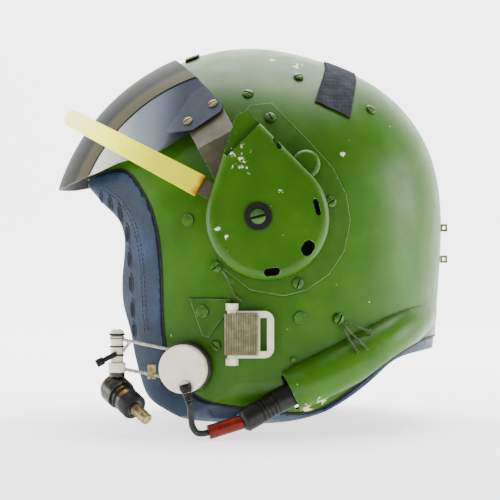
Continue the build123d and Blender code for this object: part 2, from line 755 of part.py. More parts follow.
def on_slope(px, py, lift):
    """Plane on the corner plate's outer face, at a point of the side view."""
    x, z = side_point(px, py, visor_edge_out)
    a = math.radians(arm_angle)
    reach = x * math.cos(a) + z * math.sin(a)
    out = (arm_out + (arm_thickness + corner_plate_thickness) * arm_rise
           - (reach - arm_bend_reach) * visor_slope)
    outward = Vector(visor_slope * math.cos(a), -1, visor_slope * math.sin(a))
    return Plane(origin=(x, -out, z), x_dir=(math.sin(a), 0, -math.cos(a)), z_dir=outward).offset(lift)


visor_screws = slotted_heads([on_slope(*p, 0) for p in corner_screws_px], corner_screw_radius, screw_height)
with BuildPart() as visor_screws_all:
    add(visor_screws)
    add(mirror(visor_screws, about=Plane.XZ))
keep(visor_screws_all.part, "visor_screws")


# Fasteners and trim on the skin, each row the same on both sides
def flush_discs(planes, radius, height):
    """Low round heads, one on each plane."""
    with BuildPart() as discs:
        with Locations(*planes):
            Cylinder(radius, height, align=(Align.CENTER, Align.CENTER, Align.MIN))
        chamfer(discs.faces().filter_by(GeomType.PLANE).edges(), height / 4)
    return discs.part


both_sides(slotted_heads([skin_plane(*p, plate_thickness + 2 * seat_gap) for p in plate_screws_px],
                         screw_radius, screw_height), "plate_screws")
both_sides(slotted_heads([skin_plane(*p, seat_gap) for p in shell_screws_px], screw_radius, screw_height),
           "shell_screws")
with BuildPart() as plugs_and_stud:
    add(flush_discs([skin_plane(*p, seat_gap) for p in shell_plugs_px], plug_radius, plug_height))
    add(flush_discs([skin_plane(*stud_px, seat_gap)], stud_radius, stud_height))
both_sides(plugs_and_stud.part, "shell_plugs")

with BuildPart() as tape_patch:
    with BuildSketch(Plane.XZ):
        Polygon(*[side_point(*p, shell_half_width / 2) for p in tape_px], align=None)
    extrude(amount=shell_half_width, both=True)
    add(shell_form(seat_gap + tape_thickness), mode=Mode.INTERSECT)
    add(plate_seat, mode=Mode.SUBTRACT)
keep(tape_patch.part, "tape_patch")
with BuildPart() as crown_bumper:
    with BuildSketch():
        with Locations(((bumper_x[0] + bumper_x[1]) / 2, 0)):
            RectangleRounded(bumper_x[1] - bumper_x[0], 2 * bumper_half_width,
                             (bumper_x[1] - bumper_x[0]) / 3)
    extrude(amount=front_radius + overrun)
    add(shell_form(seat_gap + bumper_thickness), mode=Mode.INTERSECT)
    add(plate_seat, mode=Mode.SUBTRACT)
keep(crown_bumper.part, "crown_bumper")
with BuildPart() as rear_brackets:
    for height in bracket_heights:
        with Locations((rear_radius + seat_gap, 0, height)):
            Box(*bracket_size, align=(Align.MIN, Align.CENTER, Align.CENTER))
            with Locations((bracket_size[0] / 2, 0, 0)):
                Cylinder(bracket_size[2] / 4, 2 * bracket_size[1], rotation=(90, 0, 0), mode=Mode.SUBTRACT)
keep(rear_brackets.part, "rear_brackets")

# Strap anchors
with BuildPart() as strap_anchor_l:
    add(left_prism([side_point(*p, shell_half_width) for p in anchor_px], cup_inner_out, cover_face_out))
    add(shell_form(seat_gap + anchor_thickness), mode=Mode.INTERSECT)
    add(plate_seat, mode=Mode.SUBTRACT)
both_sides(strap_anchor_l.part, "strap_anchors")
with BuildPart() as anchor_room:
    add(left_prism([side_point(*p, shell_half_width) for p in anchor_px], cup_inner_out, cover_face_out))
    add(shell_form(2 * seat_gap + anchor_thickness), mode=Mode.INTERSECT)
both_sides(flush_discs([skin_plane(*anchor_rivet_px, anchor_thickness + 2 * seat_gap)], plug_radius,
                       plug_height), "anchor_rivets")
both_sides(slotted_heads([skin_plane(*strap_screw_px, seat_gap)], screw_radius, screw_height), "strap_screws")

# Roller bar on two lugs, with a cap on each end
bar_x = side_point(bar_px, 0, bar_out)[0]
bar_top, bar_low = [side_point(bar_px, p, bar_out)[1] for p in bar_ends_px]
bar_mid = (bar_top + bar_low) / 2
with BuildPart() as strap_bar_l:
    with Locations((bar_x, -bar_out, bar_mid)):
        Cylinder(bar_radius, bar_top - bar_low)
    with Locations((bar_x, -bar_out, bar_top), (bar_x, -bar_out, bar_low)):
        Cylinder(bar_cap_radius, bar_cap_length)
    with Locations((bar_x, -skin_out(bar_x, bar_mid) - seat_gap, bar_top),
                   (bar_x, -skin_out(bar_x, bar_mid) - seat_gap, bar_low)):
        Box(lug_size[0], bar_out - skin_out(bar_x, bar_mid), bar_cap_length,
            align=(Align.CENTER, Align.MAX, Align.CENTER))
    add(anchor_room.part, mode=Mode.SUBTRACT)
keep(strap_bar_l.part, "strap_bar_l")
keep(mirrored(strap_bar_l.part), "strap_bar_r")

# Buckle: a flat frame with an eye round the bar, and the webbing folded over it
frame_end = side_point(frame_px[1][0], 0, bar_out)[0]
frame_tall = bar_top - bar_low - bar_cap_length - 2 * seat_gap
frame_long = frame_end - bar_x
eye_radius = bar_radius + running_gap + frame_thickness / 2
with BuildPart() as strap_frame_l:
    with BuildSketch(Plane.XZ.offset(bar_out - frame_thickness / 2)):
        with Locations((bar_x + frame_long / 2, bar_mid)):
            RectangleRounded(frame_long, frame_tall, frame_round)
        with Locations((bar_x + frame_long / 4, bar_mid)):
            Rectangle(frame_long / 2, frame_tall)
        with Locations((bar_x + frame_long - frame_rim - frame_gap / 2, bar_mid)):
            Rectangle(frame_gap, frame_tall - 2 * frame_rim, mode=Mode.SUBTRACT)
        with Locations((bar_x + frame_long - frame_rim - frame_gap - frame_bar - frame_gap / 2, bar_mid)):
            Rectangle(frame_gap, frame_tall - 2 * frame_rim, mode=Mode.SUBTRACT)
    extrude(amount=frame_thickness)
    with Locations((bar_x, -bar_out, bar_mid)):
        Cylinder(eye_radius, frame_tall)
        Cylinder(bar_radius + running_gap, frame_tall, mode=Mode.SUBTRACT)
keep(strap_frame_l.part, "strap_frame_l")
keep(mirrored(strap_frame_l.part), "strap_frame_r")

web_left = side_point(webbing_px[0][0], 0, bar_out)[0]
web_right = side_point(webbing_px[1][0], 0, bar_out)[0]
web_tall = side_point(0, webbing_px[0][1], bar_out)[1] - side_point(0, webbing_px[1][1], bar_out)[1]
web_lift = eye_radius + webbing_gap
web_step = (web_right - web_left) / webbing_ribs
with BuildPart() as webbing_l:
    with BuildSketch(Plane.XY.offset(bar_mid - web_tall / 2)):
        with Locations(((web_left + web_right) / 2, -bar_out - web_lift - webbing_thickness / 2)):
            Rectangle(web_right - web_left, webbing_thickness)
        with Locations((bar_x, -bar_out)):
            Circle(web_lift + webbing_thickness)
        with Locations((bar_x, -bar_out)):
            Circle(web_lift, mode=Mode.SUBTRACT)
        with Locations((web_right, -bar_out + web_lift)):
            Rectangle(2 * (web_right - bar_x), 2 * web_lift + 2 * webbing_thickness,
                      align=(Align.CENTER, Align.CENTER), mode=Mode.SUBTRACT)
        with Locations(*[(web_left + (i + 1) * web_step, -bar_out - web_lift - webbing_thickness)
                         for i in range(webbing_ribs - 1)]):
            Circle(webbing_rib_depth, mode=Mode.SUBTRACT)
    extrude(amount=web_tall)
keep(webbing_l.part, "webbing_l")
keep(mirrored(webbing_l.part), "webbing_r")


# Lacing: soft iron wire, and a brown lace end at the nape
def wire(points, radius):
    """Wire through points, each corner turned as wide as its runs allow."""
    with BuildPart() as line:
        with BuildLine() as path:
            if len(points) == 2:
                Line(*points)
            else:
                bends = []
                for a, b, c in zip(points, points[1:], points[2:]):
                    turn = math.radians((b - a).get_angle(c - b))
                    shorter = min((b - a).length, (c - b).length)
                    bends.append(bend_share * shorter / math.tan(turn / 2))
                FilletPolyline(*points, radius=bends)
                print("bend radii", [round(r, 1) for r in bends])
        with BuildSketch(Plane(origin=points[0], z_dir=points[1] - points[0])):
            Circle(radius)
        sweep(path=path.wire())
    return line.part


strap_wire = wire([left_point(*p) for p in strap_wire_px], wire_radius)
both_sides(strap_wire, "strap_wires")
lace_seat = skin_plane(*lace_screw_px, seat_gap)
with BuildPart() as lace_screw:
    add(slotted_heads([lace_seat], screw_radius, 2 * screw_height))
keep(lace_screw.part, "lace_screw")
with BuildPart() as lace_wires:
    for end in lace_ends_px:
        end_point = left_point(*end)
        way = end_point - lace_seat.origin
        along = (way - lace_seat.z_dir * way.dot(lace_seat.z_dir)).normalized()
        start_point = (lace_seat.origin + along * (screw_radius + 2 * wire_radius)
                       + lace_seat.z_dir * screw_height)
        add(rod(start_point, end_point, wire_radius))
keep(lace_wires.part, "lace_wires")
brown_lace = rod(left_point(*brown_lace_px[0]), left_point(*brown_lace_px[1]), wire_radius)
keep(brown_lace, "lace_end")

# Microphone boom: base and cap stay on the shell, the ring with its rods turns between them
tilt = math.radians(boom_tilt)
boom_x, boom_z = side_point(*boom_px, boom_out)
boom_plane = Plane(origin=(boom_x, -boom_out, boom_z), x_dir=(math.cos(tilt), -math.sin(tilt), 0),
                   z_dir=(-math.sin(tilt), -math.cos(tilt), 0))
px_here = mm_per_px * (view_distance - boom_out) / view_distance


def on_boom(px, py, lift=0):
    """Point in space on the boom's plane, `lift` outward from it."""
    u = (px - boom_px[0]) * px_here / math.cos(tilt)
    return boom_plane.from_local_coords((u, (boom_px[1] - py) * px_here, lift))


ring_low = boom_base_height + seat_gap
cap_low = ring_low + ring_height + seat_gap
with BuildPart() as boom_base:
    with BuildSketch(boom_plane.offset(-boom_seat_depth)):
        Circle(ring_radius - seat_gap)
    extrude(amount=boom_seat_depth + boom_base_height)
    with BuildSketch(boom_plane.offset(boom_base_height)):
        Circle(boom_pin_radius)
    extrude(amount=cap_low - boom_base_height)
    add(shell_form(bead_stand + seat_gap), mode=Mode.SUBTRACT)
    add(shell_form(-leather_inset + seat_gap), mode=Mode.SUBTRACT)
keep(boom_base.part, "boom_base")

cord_start = left_point(*cord_px[0])
gland_way = (left_point(*cord_px[1]) - cord_start).normalized()
with BuildPart() as boom_cap:
    with BuildSketch(boom_plane.offset(cap_low)):
        Circle(cap_radius)
    extrude(amount=cap_height)
    fillet(boom_cap.edges().filter_by(GeomType.CIRCLE).group_by(Axis.Y)[0], cap_round)
    with Locations(cord_start - gland_way * gland_length):
        Sphere(gland_radius)
    with BuildSketch(Plane(origin=cord_start - gland_way * gland_length, z_dir=gland_way)):
        Circle(gland_radius)
    extrude(amount=gland_length)
keep(boom_cap.part, "boom_cap")

with BuildPart() as boom_ring:
    with BuildSketch(boom_plane.offset(ring_low)):
        Circle(ring_radius)
        Circle(boom_pin_radius + running_gap, mode=Mode.SUBTRACT)
    extrude(amount=ring_height)
keep(boom_ring.part, "boom_ring")

rod_height = ring_low + ring_height / 2
post_top, post_low, post_foot = [on_boom(post_px, p, rod_height) for p in post_span_px]

# Post: ringed barrel with a screwed cap above, a foot ring and a pin for the microphone's clamp
with BuildPart() as mic_post:
    with BuildSketch(Plane(origin=post_low, z_dir=(0, 0, 1))):
        Circle(post_radius)
    extrude(amount=(post_top - post_low).length)
    with BuildSketch(Plane(origin=post_top, z_dir=(0, 0, 1))):
        Circle(post_cap_radius)
    extrude(amount=post_cap_height)
    chamfer(mic_post.faces().sort_by(Axis.Z)[-1].edges(), post_cap_height / 3)
    with Locations(post_low + (post_top - post_low) * 2 / 3):
        Torus(post_radius, seat_gap)
    with BuildSketch(Plane(origin=post_low, z_dir=(0, 0, -1))):
        Circle(post_foot_radius)
    extrude(amount=(post_low - post_foot).length)
    chamfer(mic_post.faces().sort_by(Axis.Z)[0].edges(), running_gap * 4)
    with BuildSketch(Plane(origin=post_foot, z_dir=(0, 0, -1))):
        Circle(mic_pin_radius)
    extrude(amount=clamp_height - 3 * seat_gap)
keep(mic_post.part, "mic_post")

with BuildPart() as boom_rods:
    for start_px, end_px in rods_px:
        add(rod(on_boom(*start_px, rod_height), on_boom(*end_px, rod_height), rod_radius))
    add(rod(on_boom(*link_px[0], rod_height), on_boom(*link_px[1], rod_height), rod_radius))
    add(boom_ring.part, mode=Mode.SUBTRACT)
    add(mic_post.part, mode=Mode.SUBTRACT)
keep(boom_rods.part, "boom_rods")
clip_mid = on_boom((clip_px[0][0] + clip_px[0][1]) / 2, (clip_px[1][0] + clip_px[1][1]) / 2, rod_height)
with BuildPart() as rod_clip:
    with Locations(Location(boom_plane.location.position * 0 + clip_mid)):
        Box((clip_px[0][1] - clip_px[0][0]) * px_here, 3 * rod_radius,
            (clip_px[1][1] - clip_px[1][0]) * px_here)
    add(boom_rods.part, mode=Mode.SUBTRACT)
keep(rod_clip.part, "rod_clip")

# Microphone: clamp on the pin, body held in its ring, stub at the end
mic_start = left_point(*mic_start_px)
mic_end = left_point(*mic_end_px)
stub_end = left_point(*stub_end_px)
mic_way = (mic_end - mic_start).normalized()
mic_length = (mic_end - mic_start).length
clamp_top = post_foot - Vector(0, 0, seat_gap)
clamp_ring_at = mic_start + mic_way * mic_length * clamp_place_share
with BuildPart() as mic_clamp:
    with BuildSketch(Plane(origin=clamp_top, z_dir=(0, 0, -1))):
        Circle(post_cap_radius + seat_gap)
    extrude(amount=clamp_height)
    with BuildSketch(Plane(origin=clamp_ring_at, z_dir=mic_way)):
        Circle(mic_radius + clamp_band)
    extrude(amount=clamp_ring_width / 2, both=True)
    with BuildSketch(Plane(origin=clamp_top, z_dir=(0, 0, 1))):
        Circle(overrun)
    extrude(amount=overrun, mode=Mode.SUBTRACT)
    with BuildSketch(Plane(origin=mic_start - mic_way * mic_length, z_dir=mic_way)):
        Circle(mic_radius + running_gap)
    extrude(amount=3 * mic_length, mode=Mode.SUBTRACT)
    with BuildSketch(Plane(origin=post_foot, z_dir=(0, 0, 1))):
        Circle(mic_pin_radius + running_gap)
    extrude(amount=clamp_height + seat_gap, both=True, mode=Mode.SUBTRACT)
keep(mic_clamp.part, "mic_clamp")
with BuildPart() as mic_body:
    with BuildSketch(Plane(origin=mic_start, z_dir=mic_way)):
        Circle(mic_radius)
    extrude(amount=mic_length)
    fillet(mic_body.edges().filter_by(GeomType.CIRCLE), mic_radius / 5)
keep(mic_body.part, "mic_body")
with BuildPart() as mic_stub:
    with BuildSketch(Plane(origin=mic_end, z_dir=mic_way)):
        Circle(stub_radius - stub_pitch / 3)
    extrude(amount=stub_length)
    for i in range(int(stub_length / stub_pitch) - 1):
        with BuildSketch(Plane(origin=mic_end + mic_way * stub_pitch * (i + 1 / 2), z_dir=mic_way)):
            Circle(stub_radius)
        extrude(amount=stub_pitch / 2)
keep(mic_stub.part, "mic_stub")
with BuildPart() as thumb_screw:
    thumb_start = Vector(post_low.X, post_low.Y - post_radius - seat_gap,
                         side_point(*thumb_px[0], boom_out)[1])
    thumb_end = left_point(*thumb_px[1], -thumb_start.Y + thumb_lift)
    add(rod(thumb_start, thumb_end, thumb_radius))
    with BuildSketch(Plane(origin=thumb_end, z_dir=thumb_end - thumb_start)):
        Circle(knob_radius)
    extrude(amount=knob_radius, both=True)
    add(mic_post.part, mode=Mode.SUBTRACT)
keep(thumb_screw.part, "thumb_screw")

# Comms lead: cord from the gland to the red sleeve, then the ribbed plug in the conduit's mouth
cord_points = [left_point(*p) for p in cord_px]
comms_cord = wire(cord_points, cord_radius)
length_along = sum((b - a).length for a, b in zip(cord_points, cord_points[1:]))
print("cord points", [tuple(round(c, 1) for c in p) for p in cord_points])
print("cord volume over section", round(comms_cord.volume / (math.pi * cord_radius ** 2), 1),
      "route", round(length_along, 1))
keep(comms_cord, "comms_cord")
sleeve_from, sleeve_to = [left_point(*p) for p in sleeve_px]
red_sleeve = rod(sleeve_from, sleeve_to, sleeve_radius)
keep(red_sleeve, "red_sleeve")
plug_length = (plug_to - plug_from).length
with BuildPart() as comms_plug:
    with BuildSketch(Plane(origin=plug_from, z_dir=plug_way)):
        Circle(plug_body_radius)
    extrude(amount=plug_length)
    chamfer(comms_plug.edges().filter_by(GeomType.CIRCLE), plug_body_radius / 4)
    for i in range(plug_ribs):
        with BuildSketch(Plane(origin=plug_from + plug_way * plug_length * (plug_rib_start_share
                                                                           + i * plug_rib_step_share),
                               z_dir=plug_way)):
            Circle(plug_body_radius + plug_rib_depth)
            Circle(plug_body_radius - plug_rib_depth, mode=Mode.SUBTRACT)
        extrude(amount=plug_length * plug_rib_step_share / 2, mode=Mode.SUBTRACT)
    add(red_sleeve, mode=Mode.SUBTRACT)
keep(comms_plug.part, "comms_plug")
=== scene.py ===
import json
import logging
import math
from dataclasses import dataclass
from enum import Enum
from typing import Any, Sequence

import bmesh
import bpy
import numpy as np
from mathutils import Matrix, Vector, noise
from mathutils.bvhtree import BVHTree


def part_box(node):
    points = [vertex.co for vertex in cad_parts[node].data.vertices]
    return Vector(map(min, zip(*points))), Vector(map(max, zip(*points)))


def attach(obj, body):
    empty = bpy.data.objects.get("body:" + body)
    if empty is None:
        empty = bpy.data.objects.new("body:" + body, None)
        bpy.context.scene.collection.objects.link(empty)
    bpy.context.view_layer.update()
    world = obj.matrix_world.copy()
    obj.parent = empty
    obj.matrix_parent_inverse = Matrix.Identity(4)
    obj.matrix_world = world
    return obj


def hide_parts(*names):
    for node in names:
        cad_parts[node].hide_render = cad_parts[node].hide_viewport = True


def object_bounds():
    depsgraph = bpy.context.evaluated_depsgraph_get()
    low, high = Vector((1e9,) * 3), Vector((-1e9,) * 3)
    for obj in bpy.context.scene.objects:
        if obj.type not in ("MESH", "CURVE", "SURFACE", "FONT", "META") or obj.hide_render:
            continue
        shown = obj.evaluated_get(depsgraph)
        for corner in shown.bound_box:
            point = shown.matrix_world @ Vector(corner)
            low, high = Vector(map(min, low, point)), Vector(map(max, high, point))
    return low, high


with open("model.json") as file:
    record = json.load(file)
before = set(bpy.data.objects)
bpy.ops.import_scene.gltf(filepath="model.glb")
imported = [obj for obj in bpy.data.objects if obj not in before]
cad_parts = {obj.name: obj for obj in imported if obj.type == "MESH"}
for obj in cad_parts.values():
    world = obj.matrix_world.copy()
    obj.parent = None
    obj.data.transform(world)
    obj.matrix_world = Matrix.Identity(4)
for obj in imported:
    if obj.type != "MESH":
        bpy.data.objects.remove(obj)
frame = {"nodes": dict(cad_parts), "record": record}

Tree = bpy.types.NodeTree
Socket = bpy.types.NodeSocket
Node = bpy.types.Node
Piece = bpy.types.Object
Work = bmesh.types.BMesh

log = logging.getLogger("pilot_helmet")
cad_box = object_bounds()

MM = 0.001
# The view: an eye 1.3 m out on the wearer's left side, 0.8 mm to a picture unit at the mid-plane
EYE_OUT = 1.3
EYE = Vector((-0.0057, -EYE_OUT, -0.0237))
UNIT = 0.8 * MM
MIDDLE = 250.0
# One wave of a thread or strand, in radians
WAVE = 6.28
# Edges that meet at more than this, in radians, are the cut edges of the tape
CUT_EDGE = 0.7
# Soft goods: the pressure that swells them, and the share of their covers that is filled
STUFFING_PRESSURE = 4.0
# Corners that meet within this, in metres, are one
SAME_POINT = 2e-6
# The steps that a quarter turn of the paper's sweep is cut into
SWEEP_STEPS = 16


class Side(Enum):
    """The wearer's two sides, with the sign of Y."""

    LEFT = -1
    RIGHT = 1


class Light(Enum):
    """The studio's soft boxes: place, aim, size and power."""

    KEY = ((-1.0, -1.1, 1.4), (0.0, 0.0, 0.0), 0.8, 6.0)
    FILL = ((1.3, -1.1, 0.5), (0.0, 0.0, 0.0), 1.0, 2.0)
    TOP = ((0.15, -0.05, 1.5), (0.0, 0.0, 0.0), 0.9, 9.0)
    FRONT = ((-1.5, -0.1, 0.0), (0.0, 0.0, 0.0), 0.7, 13.0)
    BACK = ((1.5, 0.0, 0.3), (0.0, 0.0, 0.0), 0.7, 17.0)
    WALL = ((0.0, 0.75, 1.7), (0.0, 1.7, -0.1), 1.8, 90.0)


def linear(code: str) -> tuple[float, float, float, float]:
    """Turns an sRGB hex colour into the linear colour that a shader takes.

    Args:
        code: six hex digits, with or without a leading #.

    Returns:
        Linear red, green and blue, with full alpha.
    """
    digits = code.lstrip("#")
    parts = [int(digits[i:i + 2], 16) / 255 for i in (0, 2, 4)]
    r, g, b = (p / 12.92 if p <= 0.04045 else ((p + 0.055) / 1.055) ** 2.4 for p in parts)
    return (r, g, b, 1.0)


def per_metre(size_mm: float) -> float:
    """A texture scale that gives features of this size in millimetres."""
    return 1000.0 / size_mm


def add(tree: Tree, kind: str, settings: dict[str, Any] | None = None,
        links: dict[Any, Any] | None = None) -> Node:
    """Adds a node with its settings and its links.

    Args:
        tree: the node tree to add to.
        kind: the node's type.
        settings: attributes of the node itself.
        links: input name or number, against an output socket to link or a value to set.

    Returns:
        The new node.
    """
    node = tree.nodes.new(kind)
    for key, value in (settings or {}).items():
        setattr(node, key, value)
    for key, value in (links or {}).items():
        if isinstance(value, Socket):
            tree.links.new(value, node.inputs[key])
        else:
            node.inputs[key].default_value = value
    return node


def at_depth(across: float, down: float, out: float) -> Vector:
    """The point seen at a picture place, this far out (mm) from the mid-plane on the near side."""
    scale = (EYE_OUT - out * MM) / EYE_OUT * UNIT
    return Vector((EYE.x + (across - MIDDLE) * scale, -out * MM, EYE.z + (MIDDLE - down) * scale))


def sight(across: float, down: float) -> Vector:
    """The direction from the eye through a picture place."""
    step = UNIT / EYE_OUT
    return Vector(((across - MIDDLE) * step, 1.0, (MIDDLE - down) * step)).normalized()


# ---------------------------------------------------------------------------------------------
# Finishes


@dataclass(frozen=True)
class Finish:
    """A surface finish: three tones mottled at a real scale, grain, softened edges and wear.

    Lengths are in millimetres. The worn tone shows on edges that hands and kit rub, where a share
    of them, "wear", is rubbed through. Painted shade darkens corners up to "crevice" wide.
    """

    name: str
    base: str
    dark: str
    light: str
    mottle: float = 18.0
    grain: float = 0.5
    relief: float = 0.02
    rough: float = 0.45
    rough_vary: float = 0.1
    metallic: float = 0.0
    sheen: float = 0.0
    edge: float = 0.35
    worn: str = ""
    wear: float = 0.5
    painted_shade: float = 0.65
    specular: float = 0.5
    rub_size: float = 3.0
    crevice: float = 2.2
    crevice_shade: str = "3a3830"
    samples: int = 4

    def colour(self, tree: Tree, place: Socket) -> Socket:
        """The finish's own colour: broad mottling between the dark, base and light tones.

        Args:
            tree: the material's tree.
            place: the object coordinates.

        Returns:
            The colour socket.
        """
        broad = add(tree, "ShaderNodeTexNoise", links={
            "Vector": place, "Scale": per_metre(self.mottle), "Detail": 5.0, "Roughness": 0.6})
        ramp = add(tree, "ShaderNodeValToRGB", links={"Fac": broad.outputs[0]})
        stops = ramp.color_ramp.elements
        stops[0].position, stops[0].color = 0.3, linear(self.dark)
        stops[1].position, stops[1].color = 0.72, linear(self.light)
        middle = stops.new(0.5)
        middle.color = linear(self.base)
        return ramp.outputs["Color"]

    def height(self, tree: Tree, place: Socket) -> Socket:
        """The fine relief: moulded or sprayed grain.

        Args:
            tree: the material's tree.
            place: the object coordinates.

        Returns:
            The height socket, from 0 to 1.
        """
        return add(tree, "ShaderNodeTexNoise", links={
            "Vector": place, "Scale": per_metre(self.grain), "Detail": 3.0}).outputs[0]

    def rubbed(self, tree: Tree, place: Socket, soft: Socket) -> Socket:
        """Where edges are rubbed through: softened against true normals, broken up by noise.

        Args:
            tree: the material's tree.
            place: the object coordinates.
            soft: the softened normal.

        Returns:
            The mask socket, from 0 to 1.
        """
        true = add(tree, "ShaderNodeNewGeometry")
        same = add(tree, "ShaderNodeVectorMath", {"operation": "DOT_PRODUCT"},
                   {0: soft, 1: true.outputs["Normal"]})
        edge = add(tree, "ShaderNodeMapRange", links={
            "Value": same.outputs["Value"], "From Min": 0.985, "From Max": 0.9})
        break_up = add(tree, "ShaderNodeTexNoise", links={
            "Vector": place, "Scale": per_metre(self.rub_size), "Detail": 4.0, "Roughness": 0.7})
        least = 0.62 - 0.3 * self.wear
        keep = add(tree, "ShaderNodeMapRange", links={
            "Value": break_up.outputs[0], "From Min": least, "From Max": least + 0.1})
        return add(tree, "ShaderNodeMath", {"operation": "MULTIPLY"},
                   {0: edge.outputs[0], 1: keep.outputs[0]}).outputs[0]

    def paint_crevice_shade(self, tree: Tree, tone: Socket) -> Socket:
        """Paints shade into corners and crevices, darker where ambient occlusion finds them shut
        in.

        Args:
            tree: the material's tree.
            tone: the clean colour.

        Returns:
            The colour socket.
        """
        # painted shade: ambient occlusion darkens the colour in corners and crevices
        shade = add(tree, "ShaderNodeAmbientOcclusion", {"samples": self.samples},
                    {"Distance": self.crevice * MM})
        crevice_shade = add(tree, "ShaderNodeMapRange", links={
            "Value": shade.outputs["AO"], "From Min": 0.35, "From Max": 0.95,
            "To Min": self.painted_shade, "To Max": 0.0})
        dull = add(tree, "ShaderNodeMix", {"data_type": "RGBA", "blend_type": "MULTIPLY"}, {
            0: 1.0, 6: tone, 7: linear(self.crevice_shade)})
        return add(tree, "ShaderNodeMix", {"data_type": "RGBA"}, {
            0: crevice_shade.outputs[0], 6: tone, 7: dull.outputs[2]}).outputs[2]

    def finish_shader(self, tree: Tree, shader: Node, place: Socket) -> None:
        """Sets what only this finish has on its shader. The plain finish adds nothing."""

    def material(self) -> bpy.types.Material:
        """The material, made once and then shared.

        Returns:
            The material of this name.
        """
        made = bpy.data.materials.get(self.name)
        if made:
            return made
        made = bpy.data.materials.new(self.name)
        made.use_nodes = True
        tree = made.node_tree
        tree.nodes.clear()
        place = add(tree, "ShaderNodeTexCoord").outputs["Object"]
        soft = add(tree, "ShaderNodeBevel", {"samples": self.samples},
                   {"Radius": self.edge * MM}).outputs[0]
        tone = self.colour(tree, place)
        if self.worn:
            tone = add(tree, "ShaderNodeMix", {"data_type": "RGBA"}, {
                0: self.rubbed(tree, place, soft), 6: tone, 7: linear(self.worn)}).outputs[2]
        # painted shade in corners and crevices
        if self.painted_shade > 0.0:
            tone = self.paint_crevice_shade(tree, tone)
        patchy = add(tree, "ShaderNodeTexNoise", links={
            "Vector": place, "Scale": per_metre(self.mottle * 0.4), "Detail": 4.0})
        rough = add(tree, "ShaderNodeMapRange", links={
            "Value": patchy.outputs[0], "From Min": 0.3, "From Max": 0.7,
            "To Min": self.rough - self.rough_vary, "To Max": self.rough + self.rough_vary})
        bump = add(tree, "ShaderNodeBump", links={
            "Strength": 1.0, "Distance": self.relief * MM, "Height": self.height(tree, place),
            "Normal": soft})
        shader = add(tree, "ShaderNodeBsdfPrincipled", links={
            "Base Color": tone, "Roughness": rough.outputs[0], "Metallic": self.metallic,
            "Sheen Weight": self.sheen, "Specular IOR Level": self.specular,
            "Normal": bump.outputs[0]})
        self.finish_shader(tree, shader, place)
        add(tree, "ShaderNodeOutputMaterial", links={"Surface": shader.outputs[0]})
        return made


@dataclass(frozen=True)
class ChippedPaint(Finish):
    """Satin polyurethane paint sprayed on a moulded composite: orange peel, scratches and chips.

    Each chip site is (x, z, radius) in mm on the side view; the primer shows pale through it.
    """

    chips: tuple[tuple[float, float, float], ...] = ()
    primer: str = "f2f0c4"
    fleck: float = 4.2
    scratch: float = 9.0

    def colour(self, tree: Tree, place: Socket) -> Socket:
        """Mottled paint with fine pale scratches, and chips near the listed sites.

        Args:
            tree: the material's tree.
            place: the object coordinates.

        Returns:
            The colour socket.
        """
        tone = super().colour(tree, place)
        apart = add(tree, "ShaderNodeSeparateXYZ", links={0: place})
        flat = add(tree, "ShaderNodeCombineXYZ", links={
            0: apart.outputs[0], 1: 0.0, 2: apart.outputs[2]}).outputs[0]
        near: Socket | float = 0.0
        for x, z, radius in self.chips:
            away = add(tree, "ShaderNodeVectorMath", {"operation": "DISTANCE"},
                       {0: flat, 1: (x * MM, 0.0, z * MM)}).outputs["Value"]
            spot = add(tree, "ShaderNodeMapRange", links={
                "Value": away, "From Min": radius * MM, "From Max": 0.0}).outputs[0]
            near = add(tree, "ShaderNodeMath", {"operation": "MAXIMUM"},
                       {0: near, 1: spot}).outputs[0]
        flecks = add(tree, "ShaderNodeTexNoise", links={
            "Vector": place, "Scale": per_metre(self.fleck), "Detail": 4.0, "Roughness": 0.6})
        low = add(tree, "ShaderNodeMath", {"operation": "MULTIPLY_ADD"},
                  {0: near, 1: 0.3, 2: flecks.outputs[0]}).outputs[0]
        chip = add(tree, "ShaderNodeMapRange", links={
            "Value": low, "From Min": 0.735, "From Max": 0.75, "To Max": 0.95})
        tone = add(tree, "ShaderNodeMix", {"data_type": "RGBA"}, {
            0: chip.outputs[0], 6: tone, 7: linear(self.primer)}).outputs[2]
        stretched = add(tree, "ShaderNodeMapping", links={
            "Vector": place, "Rotation": (0.3, 0.9, 0.5), "Scale": (1.0, 1.0, 14.0)})
        lines = add(tree, "ShaderNodeTexNoise", links={
            "Vector": stretched.outputs[0], "Scale": per_metre(self.scratch), "Detail": 6.0,
            "Roughness": 0.85})
        scratch = add(tree, "ShaderNodeMapRange", links={
            "Value": lines.outputs[0], "From Min": 0.73, "From Max": 0.78, "To Max": 0.45})
        return add(tree, "ShaderNodeMix", {"data_type": "RGBA"}, {
            0: scratch.outputs[0], 6: tone, 7: linear(self.light)}).outputs[2]


